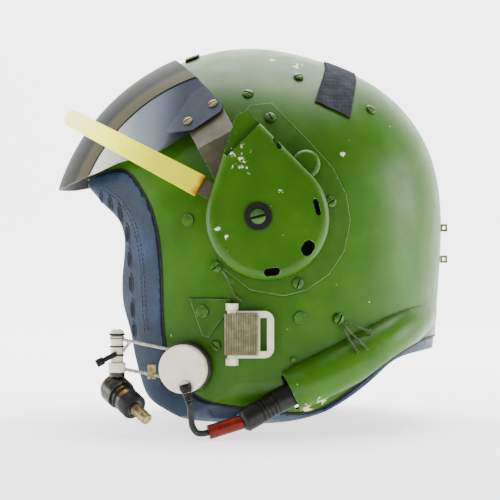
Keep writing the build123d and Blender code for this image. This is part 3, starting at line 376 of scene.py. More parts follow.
@dataclass(frozen=True)
class TintedVisor(Finish):
    """Smoke-tinted polycarbonate, injection moulded, with zones to either side of a crease.

    The front zone reads near black, the strip in front of the crease is a painted highlight, and
    the side panels carry a painted reflection of the room, grey-blue, paler towards the tip. The
    zones' limits are distances from the mid-plane in mm.
    """

    strip: str = "55523f"
    panel: str = "7b8496"
    panel_low: str = "e6e8e6"
    panel_high: str = "2a3240"
    strip_from: float = 58.0
    strip_full: float = 66.0
    crease: float = 75.2

    def colour(self, tree: Tree, place: Socket) -> Socket:
        """Zones by the distance from the mid-plane; the side panel's painted reflection paler
        lower down.

        Args:
            tree: the material's tree.
            place: the object coordinates.

        Returns:
            The colour socket.
        """
        base = super().colour(tree, place)
        apart = add(tree, "ShaderNodeSeparateXYZ", links={0: place})
        out = add(tree, "ShaderNodeMath", {"operation": "ABSOLUTE"},
                  {0: apart.outputs[1]}).outputs[0]
        # painted highlight: the strip in front of the crease
        strip_part = add(tree, "ShaderNodeMapRange", {"interpolation_type": "SMOOTHSTEP"}, {
            "Value": out, "From Min": self.strip_from * MM, "From Max": self.strip_full * MM})
        tone = add(tree, "ShaderNodeMix", {"data_type": "RGBA"}, {
            0: strip_part.outputs[0], 6: base, 7: linear(self.strip)}).outputs[2]
        # painted reflection on the side panels: paler lower down, darker higher up
        low = add(tree, "ShaderNodeMapRange", {"interpolation_type": "SMOOTHSTEP"}, {
            "Value": apart.outputs[0], "From Min": -0.085, "From Max": -0.128})
        panel = add(tree, "ShaderNodeMix", {"data_type": "RGBA"}, {
            0: low.outputs[0], 6: linear(self.panel), 7: linear(self.panel_low)}).outputs[2]
        high = add(tree, "ShaderNodeMapRange", {"interpolation_type": "SMOOTHSTEP"}, {
            "Value": apart.outputs[0], "From Min": -0.088, "From Max": -0.052})
        panel = add(tree, "ShaderNodeMix", {"data_type": "RGBA"}, {
            0: high.outputs[0], 6: panel, 7: linear(self.panel_high)}).outputs[2]
        side = add(tree, "ShaderNodeMath", {"operation": "GREATER_THAN"},
                   {0: out, 1: self.crease * MM})
        return add(tree, "ShaderNodeMix", {"data_type": "RGBA"}, {
            0: side.outputs[0], 6: tone, 7: panel}).outputs[2]

    def finish_shader(self, tree: Tree, shader: Node, place: Socket) -> None:
        """Polycarbonate's refraction index."""
        shader.inputs["IOR"].default_value = 1.585


@dataclass(frozen=True)
class CastLever(Finish):
    """Translucent yellow cast polyurethane: deep at the hub, paled and lit by painted glow at the
    tip.
    """

    deep: str = "e0d400"
    end: str = "a86400"
    pale: str = "ffff9c"
    glow: float = 2.2
    hub_glow: float = 0.3
    start: float = 47.0
    reach: float = 158.0
    angle: float = 152.0

    def along(self, tree: Tree, place: Socket) -> Socket:
        """The distance from the hub's axis, measured along the lever."""
        turn = math.radians(self.angle)
        return add(tree, "ShaderNodeVectorMath", {"operation": "DOT_PRODUCT"},
                   {0: place, 1: (math.cos(turn), 0.0, math.sin(turn))}).outputs["Value"]

    def colour(self, tree: Tree, place: Socket) -> Socket:
        """Tones along the lever's length from the hub, paler to the tip as painted light through
        it.

        Args:
            tree: the material's tree.
            place: the object coordinates.

        Returns:
            The colour socket.
        """
        cloud = add(tree, "ShaderNodeTexNoise", links={
            "Vector": place, "Scale": per_metre(self.mottle), "Detail": 3.0})
        shifted = add(tree, "ShaderNodeMath", {"operation": "MULTIPLY_ADD"},
                      {0: cloud.outputs[0], 1: 0.02, 2: self.along(tree, place)}).outputs[0]
        share = add(tree, "ShaderNodeMapRange", links={
            "Value": shifted, "From Min": self.start * MM + 0.01,
            "From Max": self.reach * MM + 0.01})
        # paler towards the tip: painted light shining through the casting
        ramp = add(tree, "ShaderNodeValToRGB", links={"Fac": share.outputs[0]})
        stops = ramp.color_ramp.elements
        stops[0].position, stops[0].color = 0.0, linear(self.end)
        stops[1].position, stops[1].color = 1.0, linear(self.pale)
        for at, code in ((0.03, self.deep), (0.3, self.dark), (0.4, self.base), (0.6, self.light)):
            stops.new(at).color = linear(code)
        return ramp.outputs["Color"]

    def finish_shader(self, tree: Tree, shader: Node, place: Socket) -> None:
        """Light scatters a few millimetres into the casting, and a painted glow grows towards the
        tip.

        Args:
            tree: the material's tree.
            shader: its principled shader.
            place: the object coordinates.
        """
        shader.inputs["Subsurface Weight"].default_value = 0.15
        shader.inputs["Subsurface Radius"].default_value = (1.0, 0.9, 0.2)
        shader.inputs["Subsurface Scale"].default_value = 0.006
        # painted glow: the lever emits its own colour, weakly at the hub and strongly towards the
        # tip
        tree.links.new(shader.inputs["Base Color"].links[0].from_socket,
                       shader.inputs["Emission Color"])
        strength = add(tree, "ShaderNodeMapRange", {"interpolation_type": "SMOOTHSTEP"}, {
            "Value": self.along(tree, place), "From Min": 0.08, "From Max": 0.14,
            "To Min": self.hub_glow, "To Max": self.glow})
        tree.links.new(strength.outputs[0], shader.inputs["Emission Strength"])


@dataclass(frozen=True)
class Leather(Finish):
    """Chrome-tanned leather, pigment-finished: pebbled grain and soft creases."""

    pebble: float = 1.1

    def height(self, tree: Tree, place: Socket) -> Socket:
        """Pebbles parted by fine valleys, with pores and broad creases over them.

        Args:
            tree: the material's tree.
            place: the object coordinates.

        Returns:
            The height socket.
        """
        bent = add(tree, "ShaderNodeTexNoise", links={
            "Vector": place, "Scale": per_metre(6.0), "Detail": 2.0})
        moved = add(tree, "ShaderNodeVectorMath", {"operation": "MULTIPLY_ADD"},
                    {0: bent.outputs["Color"], 1: (0.002, 0.002, 0.002), 2: place}).outputs[0]
        cells = add(tree, "ShaderNodeTexVoronoi", {"feature": "DISTANCE_TO_EDGE"}, {
            "Vector": moved, "Scale": per_metre(self.pebble), "Randomness": 1.0})
        tops = add(tree, "ShaderNodeMapRange", {"interpolation_type": "SMOOTHSTEP"}, {
            "Value": cells.outputs["Distance"], "From Min": 0.0, "From Max": 0.22})
        crease = add(tree, "ShaderNodeTexNoise", links={
            "Vector": moved, "Scale": per_metre(7.0), "Detail": 3.0})
        return add(tree, "ShaderNodeMath", {"operation": "MULTIPLY_ADD"},
                   {0: crease.outputs[0], 1: 3.0, 2: tops.outputs[0]}).outputs[0]


@dataclass(frozen=True)
class Woven(Finish):
    """Narrow woven or knitted cloth, its threads crossing at a real pitch."""

    thread: float = 0.7

    def height(self, tree: Tree, place: Socket) -> Socket:
        """Two sets of threads that cross.

        Args:
            tree: the material's tree.
            place: the object coordinates.

        Returns:
            The height socket.
        """
        waves = [add(tree, "ShaderNodeTexWave", {"bands_direction": way}, {
            "Vector": place, "Scale": per_metre(self.thread) / WAVE, "Distortion": 0.6,
            "Detail": 1.0, "Detail Scale": 2.0}).outputs["Fac"] for way in ("X", "Z")]
        return add(tree, "ShaderNodeMath", {"operation": "MAXIMUM"},
                   {0: waves[0], 1: waves[1]}).outputs[0]


@dataclass(frozen=True)
class PatchedMetal(Finish):
    """Machined metal whose plating has gone in patches, each (x, y, z, radius) in mm."""

    patches: tuple[tuple[float, float, float, float], ...] = ()
    under: str = "8a5a1c"

    def colour(self, tree: Tree, place: Socket) -> Socket:
        """The plated tone with the base metal showing in the patches.

        Args:
            tree: the material's tree.
            place: the object coordinates.

        Returns:
            The colour socket.
        """
        tone = super().colour(tree, place)
        ragged = add(tree, "ShaderNodeTexNoise", links={
            "Vector": place, "Scale": per_metre(4.0), "Detail": 4.0})
        for x, y, z, radius in self.patches:
            away = add(tree, "ShaderNodeVectorMath", {"operation": "DISTANCE"},
                       {0: place, 1: (x * MM, y * MM, z * MM)}).outputs["Value"]
            near = add(tree, "ShaderNodeMath", {"operation": "MULTIPLY_ADD"},
                       {0: ragged.outputs[0], 1: 0.006, 2: away}).outputs[0]
            spot = add(tree, "ShaderNodeMapRange", {"interpolation_type": "SMOOTHSTEP"}, {
                "Value": near, "From Min": radius * MM + 0.004, "From Max": radius * MM + 0.001})
            tone = add(tree, "ShaderNodeMix", {"data_type": "RGBA"}, {
                0: spot.outputs[0], 6: tone, 7: linear(self.under)}).outputs[2]
        return tone


@dataclass(frozen=True)
class LitPaper(Finish):
    """Paper with a painted glow, falling off to a painted shaded grey well in front of the object.
    """

    glow: float = 1.5
    low_glow: float = 0.22
    shaded: str = "8c8c8c"
    bright_from: float = -0.35
    shaded_from: float = -0.8

    def share(self, tree: Tree, place: Socket) -> Socket:
        """How far the paper is in the light, from 0 in front to 1 under and behind the object."""
        apart = add(tree, "ShaderNodeSeparateXYZ", links={0: place})
        return add(tree, "ShaderNodeMapRange", {"interpolation_type": "SMOOTHSTEP"}, {
            "Value": apart.outputs[1], "From Min": self.shaded_from,
            "From Max": self.bright_from}).outputs[0]

    def colour(self, tree: Tree, place: Socket) -> Socket:
        """White paper with painted shade darkening it towards the front.

        Args:
            tree: the material's tree.
            place: the object coordinates.

        Returns:
            The colour socket.
        """
        return add(tree, "ShaderNodeMix", {"data_type": "RGBA"}, {
            0: self.share(tree, place), 6: linear(self.shaded),
            7: super().colour(tree, place)}).outputs[2]

    def finish_shader(self, tree: Tree, shader: Node, place: Socket) -> None:
        """The painted glow, strong only where the paper is in the light.

        Args:
            tree: the material's tree.
            shader: its principled shader.
            place: the object coordinates.
        """
        strength = add(tree, "ShaderNodeMath", {"operation": "MULTIPLY_ADD"},
                       {0: self.share(tree, place), 1: self.glow - self.low_glow,
                        2: self.low_glow}).outputs[0]
        shader.inputs["Emission Color"].default_value = linear("ffffff")
        tree.links.new(strength, shader.inputs["Emission Strength"])


@dataclass(frozen=True)
class LaidStrand(Finish):
    """Wire or braid whose strands wind round a straight line at a real pitch."""

    way: tuple[float, float, float] = (1.0, 0.0, 0.0)
    pitch: float = 2.2

    def height(self, tree: Tree, place: Socket) -> Socket:
        """Slanted ridges across the line's direction.

        Args:
            tree: the material's tree.
            place: the object coordinates.

        Returns:
            The height socket.
        """
        along = add(tree, "ShaderNodeVectorMath", {"operation": "DOT_PRODUCT"},
                    {0: place, 1: self.way}).outputs["Value"]
        angle = add(tree, "ShaderNodeMath", {"operation": "MULTIPLY"},
                    {0: along, 1: WAVE * per_metre(self.pitch)}).outputs[0]
        return add(tree, "ShaderNodeMath", {"operation": "SINE"}, {0: angle}).outputs[0]


# Shell: satin polyurethane paint sprayed on a moulded composite. Soft highlights with a faint
# orange peel, pale primer where it is chipped.
SHELL_PAINT = ChippedPaint(
    "satin_green_polyurethane_paint", base="336006", dark="2d5804", light="3c6b0b", mottle=34.0,
    grain=1.6, relief=0.02, rough=0.36, rough_vary=0.06, specular=0.22, edge=0.8, worn="a9be7e",
    wear=0.45, chips=((-12.4, 41.0, 13.0), (62.0, 46.0, 4.0), (-10.0, -24.0, 4.0),
                      (-30.0, 1.0, 3.5), (-28.0, -9.0, 3.5), (-23.0, -15.0, 3.0),
                      (36.0, -140.0, 12.0), (46.0, -132.0, 8.0), (15.0, 17.0, 4.0),
                      (30.0, 116.0, 6.0), (12.0, 122.0, 4.0)))
# Base plate and strap anchor: the same paint brushed on sheet metal, a little deeper and worn at
# the cut edges.
PLATE_PAINT = ChippedPaint(
    "brushed_green_paint_on_sheet_metal", base="2f5905", dark="295004", light="376209",
    mottle=16.0, grain=1.2, relief=0.025, rough=0.38, specular=0.22, edge=0.7, worn="a4b878",
    wear=1.0, chips=((30.0, 90.0, 8.0), (62.0, 30.0, 7.0)))
# Painted screws: paint lies thick round the head and is broken in the slot, which painted shade
# darkens.
SCREW_PAINT = Finish(
    "green_paint_over_screw_heads", base="36600f", dark="244607", light="4c7a22", mottle=4.0,
    grain=0.8, relief=0.05, rough=0.36, specular=0.3, edge=0.35, worn="8fa266", wear=0.6,
    painted_shade=0.98)
# Edge roll: blue pigmented leather sewn over felt, dulled where the face rubs.
BLUE_LEATHER = Leather(
    "blue_chrome_tanned_leather", base="132a42", dark="0e2034", light="1c3955", mottle=26.0,
    relief=0.09, rough=0.42, rough_vary=0.1, specular=0.3, edge=0.5, pebble=1.3)
# Pads: thin dark leather over foam.
PAD_LEATHER = Leather(
    "grey_green_glove_leather", base="3c423a", dark="2c312b", light="50564c", mottle=18.0,
    relief=0.07, rough=0.55, edge=0.5, pebble=1.0)
# Stitching: waxed blue-grey thread pulled into the leather.
THREAD = LaidStrand(
    "waxed_linen_thread", base="2c3f52", dark="1e2d3c", light="41566c", mottle=4.0, relief=0.05,
    rough=0.6, way=(0.6, 0.0, 0.8), pitch=0.5)
# Ventilation slots: the felt seen through the punched leather, near black as painted shade in the
# holes.
SHADED_SLOT_FELT = Finish(
    "dark_felt_in_punched_slots", base="10161c", dark="0a0e12", light="1b2530", mottle=2.0,
    grain=0.4, relief=0.1, rough=0.95, edge=0.2)
# Rim: extruded black rubber.
BLACK_RUBBER = Finish(
    "extruded_black_rubber", base="0d0f0e", dark="070808", light="191c1b", mottle=9.0, grain=0.6,
    relief=0.03, rough=0.55, specular=0.25, edge=0.25)
# Liner: black closed-cell foam cut from sheet.
FOAM = Finish(
    "black_closed_cell_foam", base="26282a", dark="191b1c", light="34373a", mottle=7.0, grain=1.4,
    relief=0.25, rough=0.92, edge=0.6)
# Ear cups: black moulded ABS, finely spark-textured.
CUP_PLASTIC = Finish(
    "spark_textured_black_abs", base="1d201f", dark="151817", light="2a2e2c", mottle=14.0,
    grain=0.5, relief=0.06, rough=0.5, edge=0.5, worn="4b504c", wear=0.3)
# Visor: smoke-tinted polycarbonate, with a painted highlight strip and painted reflections on its
# side panels.
VISOR = TintedVisor(
    "smoke_tinted_polycarbonate", base="2b2f2b", dark="252925", light="313530", mottle=60.0,
    grain=30.0, relief=0.01, rough=0.5, rough_vary=0.03, edge=0.5, specular=0.06, painted_shade=0.3)
# Visor arms: chromated aluminium strip, rubbed dull.
ARM_METAL = Finish(
    "chromated_aluminium_strip", base="56533f", dark="494634", light="65614c", mottle=12.0,
    grain=0.7, relief=0.012, rough=0.5, specular=0.3, edge=0.4, worn="c9c8ba", wear=0.6)
# Corner plates: navy stove enamel on aluminium. It mirrors the same room as the visor's side
# panel that it lies on, so it takes that panel's change of tone.
NAVY = TintedVisor(
    "navy_stove_enamel_on_aluminium", base="232b39", dark="1d2430", light="2c3544", mottle=14.0,
    grain=0.9, relief=0.015, rough=0.42, edge=0.4, worn="4c5564", wear=0.5, specular=0.1)
# Lever: translucent yellow cast polyurethane, paled and glowing towards the tip with painted
# light.
LEVER = CastLever(
    "translucent_yellow_cast_polyurethane", base="f0f400", dark="e8e800", light="f6fa10",
    mottle=16.0, grain=2.4, relief=0.02, rough=0.34, edge=0.7, painted_shade=0.3, specular=0.12)
# Turned brass, gone dull, with painted shade darkening it brown in the corners.
BRASS = Finish(
    "turned_brass_tarnished", base="9c8c5c", dark="5a4a28", light="c2b688", mottle=3.0, grain=0.5,
    relief=0.02, rough=0.34, rough_vary=0.12, metallic=0.85, edge=0.25, worn="e4dcae", wear=0.9,
    painted_shade=0.95)
# Visor screws: brass cheese heads, dull, with painted shade darkening the slot black.
BRASS_SCREW = Finish(
    "dull_brass_screw_heads", base="8f8257", dark="766a42", light="a3966b", mottle=5.0, grain=0.8,
    relief=0.01, rough=0.4, metallic=0.35, edge=0.3, painted_shade=0.98)
# Hook-and-loop patch: knitted nylon loops, grey, flattened by use.
TAPE = Woven(
    "knitted_nylon_loop_tape", base="31353a", dark="272a2e", light="3e4348", mottle=8.0,
    relief=0.3, rough=0.95, specular=0.1, edge=0.3, thread=1.5, painted_shade=0.4)
# Old glue: brown, squeezed out along the tape's cut edges.
OLD_GLUE = Finish(
    "brown_contact_cement", base="5a3d1c", dark="3c2710", light="7d5c33", mottle=3.0, grain=0.9,
    relief=0.2, rough=0.7, edge=0.2)
# Webbing: ribbed cotton webbing, khaki gone pale.
WEBBING = Woven(
    "ribbed_cotton_webbing", base="746e4c", dark="5a5436", light="97916c", mottle=5.0, relief=0.12,
    rough=0.9, sheen=0.3, edge=0.2, thread=0.8)
# White acetal mouldings, yellowed and handled.
WHITE = Finish(
    "aged_white_acetal", base="f2ebd2", dark="ded4b8", light="f8f3e0", mottle=12.0, grain=0.8,
    relief=0.02, rough=0.42, rough_vary=0.1, edge=0.45, worn="a9a083", wear=0.25)
# Steel: drawn bar and rod, bare.
STEEL = Finish(
    "drawn_bright_steel", base="8f8e84", dark="66655c", light="b0b0a8", mottle=5.0, grain=0.4,
    relief=0.015, rough=0.3, rough_vary=0.1, metallic=0.9, edge=0.2, worn="e0e0da", wear=0.5)
# Boom rods: stranded steel spring rod.
ROD = LaidStrand(
    "stranded_spring_steel_rod", base="b5b3a2", dark="8c8a7c", light="d6d4c8", mottle=4.0,
    relief=0.2, rough=0.35, metallic=0.4, edge=0.1, way=(-0.97, 0.0, 0.2), pitch=1.7)
# Lacing wire: painted over in green.
LACING = LaidStrand(
    "green_painted_lacing_wire", base="3d4f2a", dark="273418", light="5e7042", mottle=4.0,
    relief=0.12, rough=0.5, edge=0.1, way=(0.2, 0.0, 0.98), pitch=1.6)
# Brown braided cotton lace.
LACE = LaidStrand(
    "brown_braided_cotton_lace", base="4c2f16", dark="28160a", light="6d4a2a", mottle=3.0,
    relief=0.4, rough=0.9, edge=0.2, way=(0.93, 0.0, 0.35), pitch=2.4)
# Black oxide on steel fittings, silvery where it rubs.
BLACK_OXIDE = Finish(
    "black_oxide_on_steel", base="191918", dark="0e0e0d", light="2b2b29", mottle=6.0, grain=0.6,
    relief=0.03, rough=0.4, metallic=0.5, specular=0.3, edge=0.3, worn="8c8a80", wear=0.6)
# Microphone body: grey anodised aluminium, bronze showing through in patches.
MIC_METAL = PatchedMetal(
    "grey_anodised_aluminium_worn_to_bronze", base="34352e", dark="22231e", light="55554b",
    mottle=8.0, grain=0.5, relief=0.015, rough=0.32, metallic=0.5, edge=0.4, worn="b9b8ab",
    wear=0.5, patches=((-98.0, -125.0, -124.5, 5.0), (-114.0, -112.0, -117.0, 5.0)))
# Boom ring and base: grey hard-anodised aluminium.
BOOM_RING = Finish(
    "grey_hard_anodised_aluminium", base="3b3a33", dark="2b2a25", light="55544b", mottle=7.0,
    grain=0.6, relief=0.015, rough=0.38, metallic=0.4, edge=0.3, worn="8c8a7c", wear=0.6)
# Cable jacket: grey-black neoprene.
CABLE = Finish(
    "neoprene_cable_jacket", base="262a29", dark="181b1a", light="3a403e", mottle=5.0, grain=0.6,
    relief=0.04, rough=0.5, specular=0.3, edge=0.1)
# Sleeve: red silicone rubber, heat-shrunk.
RED_SLEEVE = Finish(
    "red_heat_shrunk_sleeve", base="6a1002", dark="4e0a01", light="861a04", mottle=9.0, grain=1.4,
    relief=0.06, rough=0.34, specular=0.25, edge=0.4)
# Plug: black moulded neoprene.
PLUG_RUBBER = Finish(
    "moulded_black_neoprene", base="111310", dark="0a0b09", light="1f211c", mottle=8.0, grain=0.7,
    relief=0.04, rough=0.42, specular=0.3, edge=0.5, worn="4d5046", wear=0.4)
# Floor and backdrop: matt white paper with a painted glow as on a product table, and painted shade
# in front.
PAPER = LitPaper(
    "matt_white_paper", base="f6f6f6", dark="f5f5f5", light="f7f7f7", mottle=400.0, grain=4.0,
    relief=0.01, rough=0.95, rough_vary=0.02, edge=0.1, painted_shade=0.0, specular=0.1)

# Finish of each node that keeps its own shape
NODE_FINISH: dict[str, Finish] = {node: finish for finish, nodes in (
    (SHELL_PAINT, "outer_shell pivot_cover_l pivot_cover_r"),
    (PLATE_PAINT, "base_plates strap_anchors"),
    (SCREW_PAINT, "hub_screws plate_screws shell_screws shell_plugs anchor_rivets strap_screws "
                  "lace_screw"),
    (BLACK_RUBBER, "edge_bead hub_washers crown_bumper"),
    (BLUE_LEATHER, "edge_roll"), (FOAM, "foam_liner"),
    (PAD_LEATHER, "crown_pad brow_pad nape_pad ear_seal_l ear_seal_r"),
    (CUP_PLASTIC, "ear_cup_l ear_cup_r earphone_l earphone_r"), (STEEL, "hub_spindles"),
    (VISOR, "visor_lens"), (ARM_METAL, "visor_arm_l visor_arm_r lever_tang"),
    (NAVY, "corner_plate_l corner_plate_r"), (LEVER, "visor_lever"),
    (BRASS_SCREW, "visor_screws"), (TAPE, "tape_patch"),
    (BRASS, "rear_brackets rod_clip mic_stub"),
    (WHITE, "strap_bar_l strap_bar_r strap_frame_l strap_frame_r boom_cap mic_post"),
    (WEBBING, "webbing_l webbing_r"), (LACING, "strap_wires lace_wires"), (LACE, "lace_end"),
    (BOOM_RING, "boom_base boom_ring"), (ROD, "boom_rods"), (MIC_METAL, "mic_clamp mic_body"),
    (BLACK_OXIDE, "thumb_screw"), (CABLE, "comms_cord"), (RED_SLEEVE, "red_sleeve"),
    (PLUG_RUBBER, "comms_plug")) for node in nodes.split()}


# ---------------------------------------------------------------------------------------------
# Meshes and trees


def new_object(name: str, mesh: bpy.types.Mesh, finish: Finish) -> Piece:
    """Links a mesh as an object at the origin, in one finish.

    Args:
        name: the piece's name.
        mesh: its mesh.
        finish: its finish.

    Returns:
        The object.
    """
    made = bpy.data.objects.new(name, mesh)
    bpy.context.scene.collection.objects.link(made)
    mesh.materials.clear()
    mesh.materials.append(finish.material())
    return made


def from_bmesh(name: str, work: Work, finish: Finish, crease: float = 35.0) -> Piece:
    """Turns bmesh work into an object with outward normals and smooth shading up to an angle.

    Args:
        name: the piece's name.
        work: the bmesh, freed here.
        finish: its finish.
        crease: edges sharper than this, in degrees, stay sharp.

    Returns:
        The object.
    """
    bmesh.ops.recalc_face_normals(work, faces=work.faces)
    mesh = bpy.data.meshes.new(name)
    work.to_mesh(mesh)
    work.free()
    mesh.shade_smooth()
    mesh.set_sharp_from_angle(angle=math.radians(crease))
    return new_object(name, mesh, finish)


def merged(node: str) -> Work:
    """A copy of a node's loose triangles, joined up.

    Args:
        node: the node's name.

    Returns:
        The bmesh.
    """
    work = bmesh.new()
    work.from_mesh(frame["nodes"][node].data)
    bmesh.ops.remove_doubles(work, verts=work.verts, dist=SAME_POINT)
    return work


def baked(made: Piece) -> Piece:
    """Applies all modifiers to a plain mesh and takes them off the object.

    Args:
        made: the object.

    Returns:
        The same object.
    """
    graph = bpy.context.evaluated_depsgraph_get()
    graph.update()
    mesh = bpy.data.meshes.new_from_object(made.evaluated_get(graph), depsgraph=graph)
    made.modifiers.clear()
    made.data = mesh
    return made


def islands(node: str) -> list[tuple[Vector, Vector, float, float]]:
    """Finds each separate fastener of a node.

    Args:
        node: the node's name.

    Returns:
        Centre, outward axis, radius and height of each.
    """
    work = merged(node)
    found: list[tuple[Vector, Vector, float, float]] = []
    left = set(work.verts)
    while left:
        stack = [left.pop()]
        group = list(stack)
        while stack:
            for edge in stack.pop().link_edges:
                for vert in edge.verts:
                    if vert in left:
                        left.discard(vert)
                        stack.append(vert)
                        group.append(vert)
        points = np.array([v.co[:] for v in group])
        middle = (points.max(0) + points.min(0)) / 2
        off = points - points.mean(0)
        axis = Vector(np.linalg.eigh(off.T @ off)[1][:, 0])
        centre = Vector(middle)
        if axis.dot(centre) < 0:
            axis.negate()
        along = off @ np.array(axis)
        across = np.linalg.norm(off - np.outer(along, axis), axis=1)
        found.append((centre, axis, float(across.max()), float(along.max() - along.min())))
    work.free()
    found.sort(key=lambda f: tuple(round(c, 4) for c in f[0]))
    return found


def new_tree(name: str, inputs: dict[str, tuple[str, Any]]) -> tuple[Tree, Any, Any]:
    """Starts a geometry tree with named inputs.

    Args:
        name: the tree's name.
        inputs: input name against its socket type and first value.

    Returns:
        The tree, its input node and its output node.
    """
    tree = bpy.data.node_groups.new(name, "GeometryNodeTree")
    tree.interface.new_socket("Geometry", in_out="INPUT", socket_type="NodeSocketGeometry")
    for key, (kind, value) in inputs.items():
        made = tree.interface.new_socket(key, in_out="INPUT", socket_type=kind)
        if value is not None:
            made.default_value = value
    tree.interface.new_socket("Geometry", in_out="OUTPUT", socket_type="NodeSocketGeometry")
    return tree, add(tree, "NodeGroupInput"), add(tree, "NodeGroupOutput")


def run_tree(made: Piece, tree: Tree, values: dict[str, Any]) -> Piece:
    """Runs a geometry tree on an object, with its named inputs set, and bakes the result.

    Args:
        made: the object that the tree works on.
        tree: the tree.
        values: input name against its value.

    Returns:
        The same object, with a plain mesh.
    """
    modifier = made.modifiers.new(tree.name, "NODES")
    modifier.node_group = tree
    for item in tree.interface.items_tree:
        if item.item_type == "SOCKET" and item.in_out == "INPUT" and item.name in values:
            modifier[item.identifier] = values[item.name]
    return baked(made)


def close_tree(tree: Tree, given: Node, result: Node, made: Socket, smooth: bool) -> None:
    """Ends a tree in real geometry that wears the tree's Finish.

    Args:
        tree: the tree.
        given: its input node.
        result: its output node.
        made: the instances.
        smooth: whether the faces are shaded smooth.
    """
    real = add(tree, "GeometryNodeRealizeInstances", links={0: made}).outputs[0]
    if smooth:
        real = add(tree, "GeometryNodeSetShadeSmooth", links={0: real}).outputs[0]
    dressed = add(tree, "GeometryNodeSetMaterial", links={
        "Geometry": real, "Material": given.outputs["Finish"]})
    tree.links.new(dressed.outputs[0], result.inputs[0])


def strung_tree(name: str, inputs: dict[str, tuple[str, Any]], axis: str,
                ) -> tuple[Tree, Node, Node, dict[str, Socket]]:
    """Starts a tree that sets copies along a line, a Pitch apart, each turned to the line.

    Args:
        name: the tree's name.
        inputs: its sizes, input name against socket type and first value.
        axis: the axis of each copy that lies along the line.

    Returns:
        The tree, its input node, its output node, and the links that place the copies.
    """
    tree, given, result = new_tree(name, {**inputs, "Finish": ("NodeSocketMaterial", None)})
    line = add(tree, "GeometryNodeMeshToCurve", links={0: given.outputs["Geometry"]})
    even = add(tree, "GeometryNodeResampleCurve", {"mode": "LENGTH"}, {
        "Curve": line.outputs[0], "Length": given.outputs["Pitch"]})
    way = add(tree, "GeometryNodeInputTangent")
    turned = add(tree, "FunctionNodeAlignRotationToVector", {"axis": axis},
                 {"Vector": way.outputs[0]})
    return tree, given, result, {"Points": even.outputs[0], "Rotation": turned.outputs[0]}


def copies_tree() -> Tree:
    """The tree that sets one made piece at every point, turned and sized by attributes.

    Returns:
        The tree: inputs Copy, Size and Finish; it reads the points' "facing" and "size".
    """
    tree, given, result = new_tree("copies_at_points", {
        "Copy": ("NodeSocketObject", None), "Size": ("NodeSocketFloat", 1.0),
        "Finish": ("NodeSocketMaterial", None)})
    piece = add(tree, "GeometryNodeObjectInfo", links={"Object": given.outputs["Copy"]})
    facing, size = (add(tree, "GeometryNodeInputNamedAttribute", {"data_type": "FLOAT_VECTOR"},
                        {"Name": key}).outputs[0] for key in ("facing", "size"))
    scaled = add(tree, "ShaderNodeVectorMath", {"operation": "SCALE"},
                 {0: size, "Scale": given.outputs["Size"]})
    turned = add(tree, "FunctionNodeEulerToRotation", links={0: facing})
    set_out = add(tree, "GeometryNodeInstanceOnPoints", links={
        "Points": given.outputs["Geometry"], "Instance": piece.outputs["Geometry"],
        "Rotation": turned.outputs[0], "Scale": scaled.outputs[0]})
    close_tree(tree, given, result, set_out.outputs[0], False)
    return tree


def stitch_tree() -> Tree:
    """The tree that sews a row of stitches along a line.

    Returns:
        The tree: inputs Pitch, Length, Thickness and Finish.
    """
    tree, given, result, placed = strung_tree("row_of_stitches", {
        "Pitch": ("NodeSocketFloat", 0.004), "Length": ("NodeSocketFloat", 0.003),
        "Thickness": ("NodeSocketFloat", 0.0008)}, "X")
    bead = add(tree, "GeometryNodeMeshIcoSphere", links={"Radius": 0.5, "Subdivisions": 2})
    size = add(tree, "ShaderNodeCombineXYZ", links={
        0: given.outputs["Length"], 1: given.outputs["Thickness"],
        2: given.outputs["Thickness"]})
    set_out = add(tree, "GeometryNodeInstanceOnPoints", links={
        **placed, "Instance": bead.outputs[0], "Scale": size.outputs[0]})
    close_tree(tree, given, result, set_out.outputs[0], True)
    return tree


def ring_tree() -> Tree:
    """The tree that strings rings along a line, each square to it.

    Returns:
        The tree: inputs Pitch, Radius, Band and Finish.
    """
    tree, given, result, placed = strung_tree("rings_along_a_line", {
        "Pitch": ("NodeSocketFloat", 0.002), "Radius": ("NodeSocketFloat", 0.005),
        "Band": ("NodeSocketFloat", 0.0006)}, "Z")
    round_line, profile = (add(tree, "GeometryNodeCurvePrimitiveCircle", links={
        "Resolution": facets, "Radius": given.outputs[size]}).outputs[0]
        for facets, size in ((40, "Radius"), (10, "Band")))
    ring = add(tree, "GeometryNodeCurveToMesh", links={
        "Curve": round_line, "Profile Curve": profile})
    set_out = add(tree, "GeometryNodeInstanceOnPoints", links={
        **placed, "Instance": ring.outputs[0]})
    close_tree(tree, given, result, set_out.outputs[0], True)
    return tree


def line_object(name: str, runs: Sequence[Sequence[Vector]], finish: Finish) -> Piece:
    """Open lines as a mesh of edges, for the trees that follow a line.

    Args:
        name: the piece's name.
        runs: the points of each line.
        finish: its finish.

    Returns:
        The object.
    """
    points: list[Vector] = []
    edges: list[tuple[int, int]] = []
    for run in runs:
        first = len(points)
        points.extend(run)
        edges.extend((i, i + 1) for i in range(first, len(points) - 1))
    mesh = bpy.data.meshes.new(name)
    mesh.from_pydata([p[:] for p in points], edges, [])
    return new_object(name, mesh, finish)


def points_object(name: str, spots: Sequence[tuple[Vector, Matrix, Vector]], finish: Finish,
                  ) -> Piece:
    """Points with the attributes that the copies tree reads.

    Args:
        name: the piece's name.
        spots: place, turn and size of each copy.
        finish: its finish.

    Returns:
        The object.
    """
    mesh = bpy.data.meshes.new(name)
    mesh.from_pydata([p[:] for p, _, _ in spots], [], [])
    facing = mesh.attributes.new("facing", "FLOAT_VECTOR", "POINT")
    size = mesh.attributes.new("size", "FLOAT_VECTOR", "POINT")
    for i, (_, turn, big) in enumerate(spots):
        facing.data[i].vector = turn.to_euler()[:]
        size.data[i].vector = big[:]
    return new_object(name, mesh, finish)


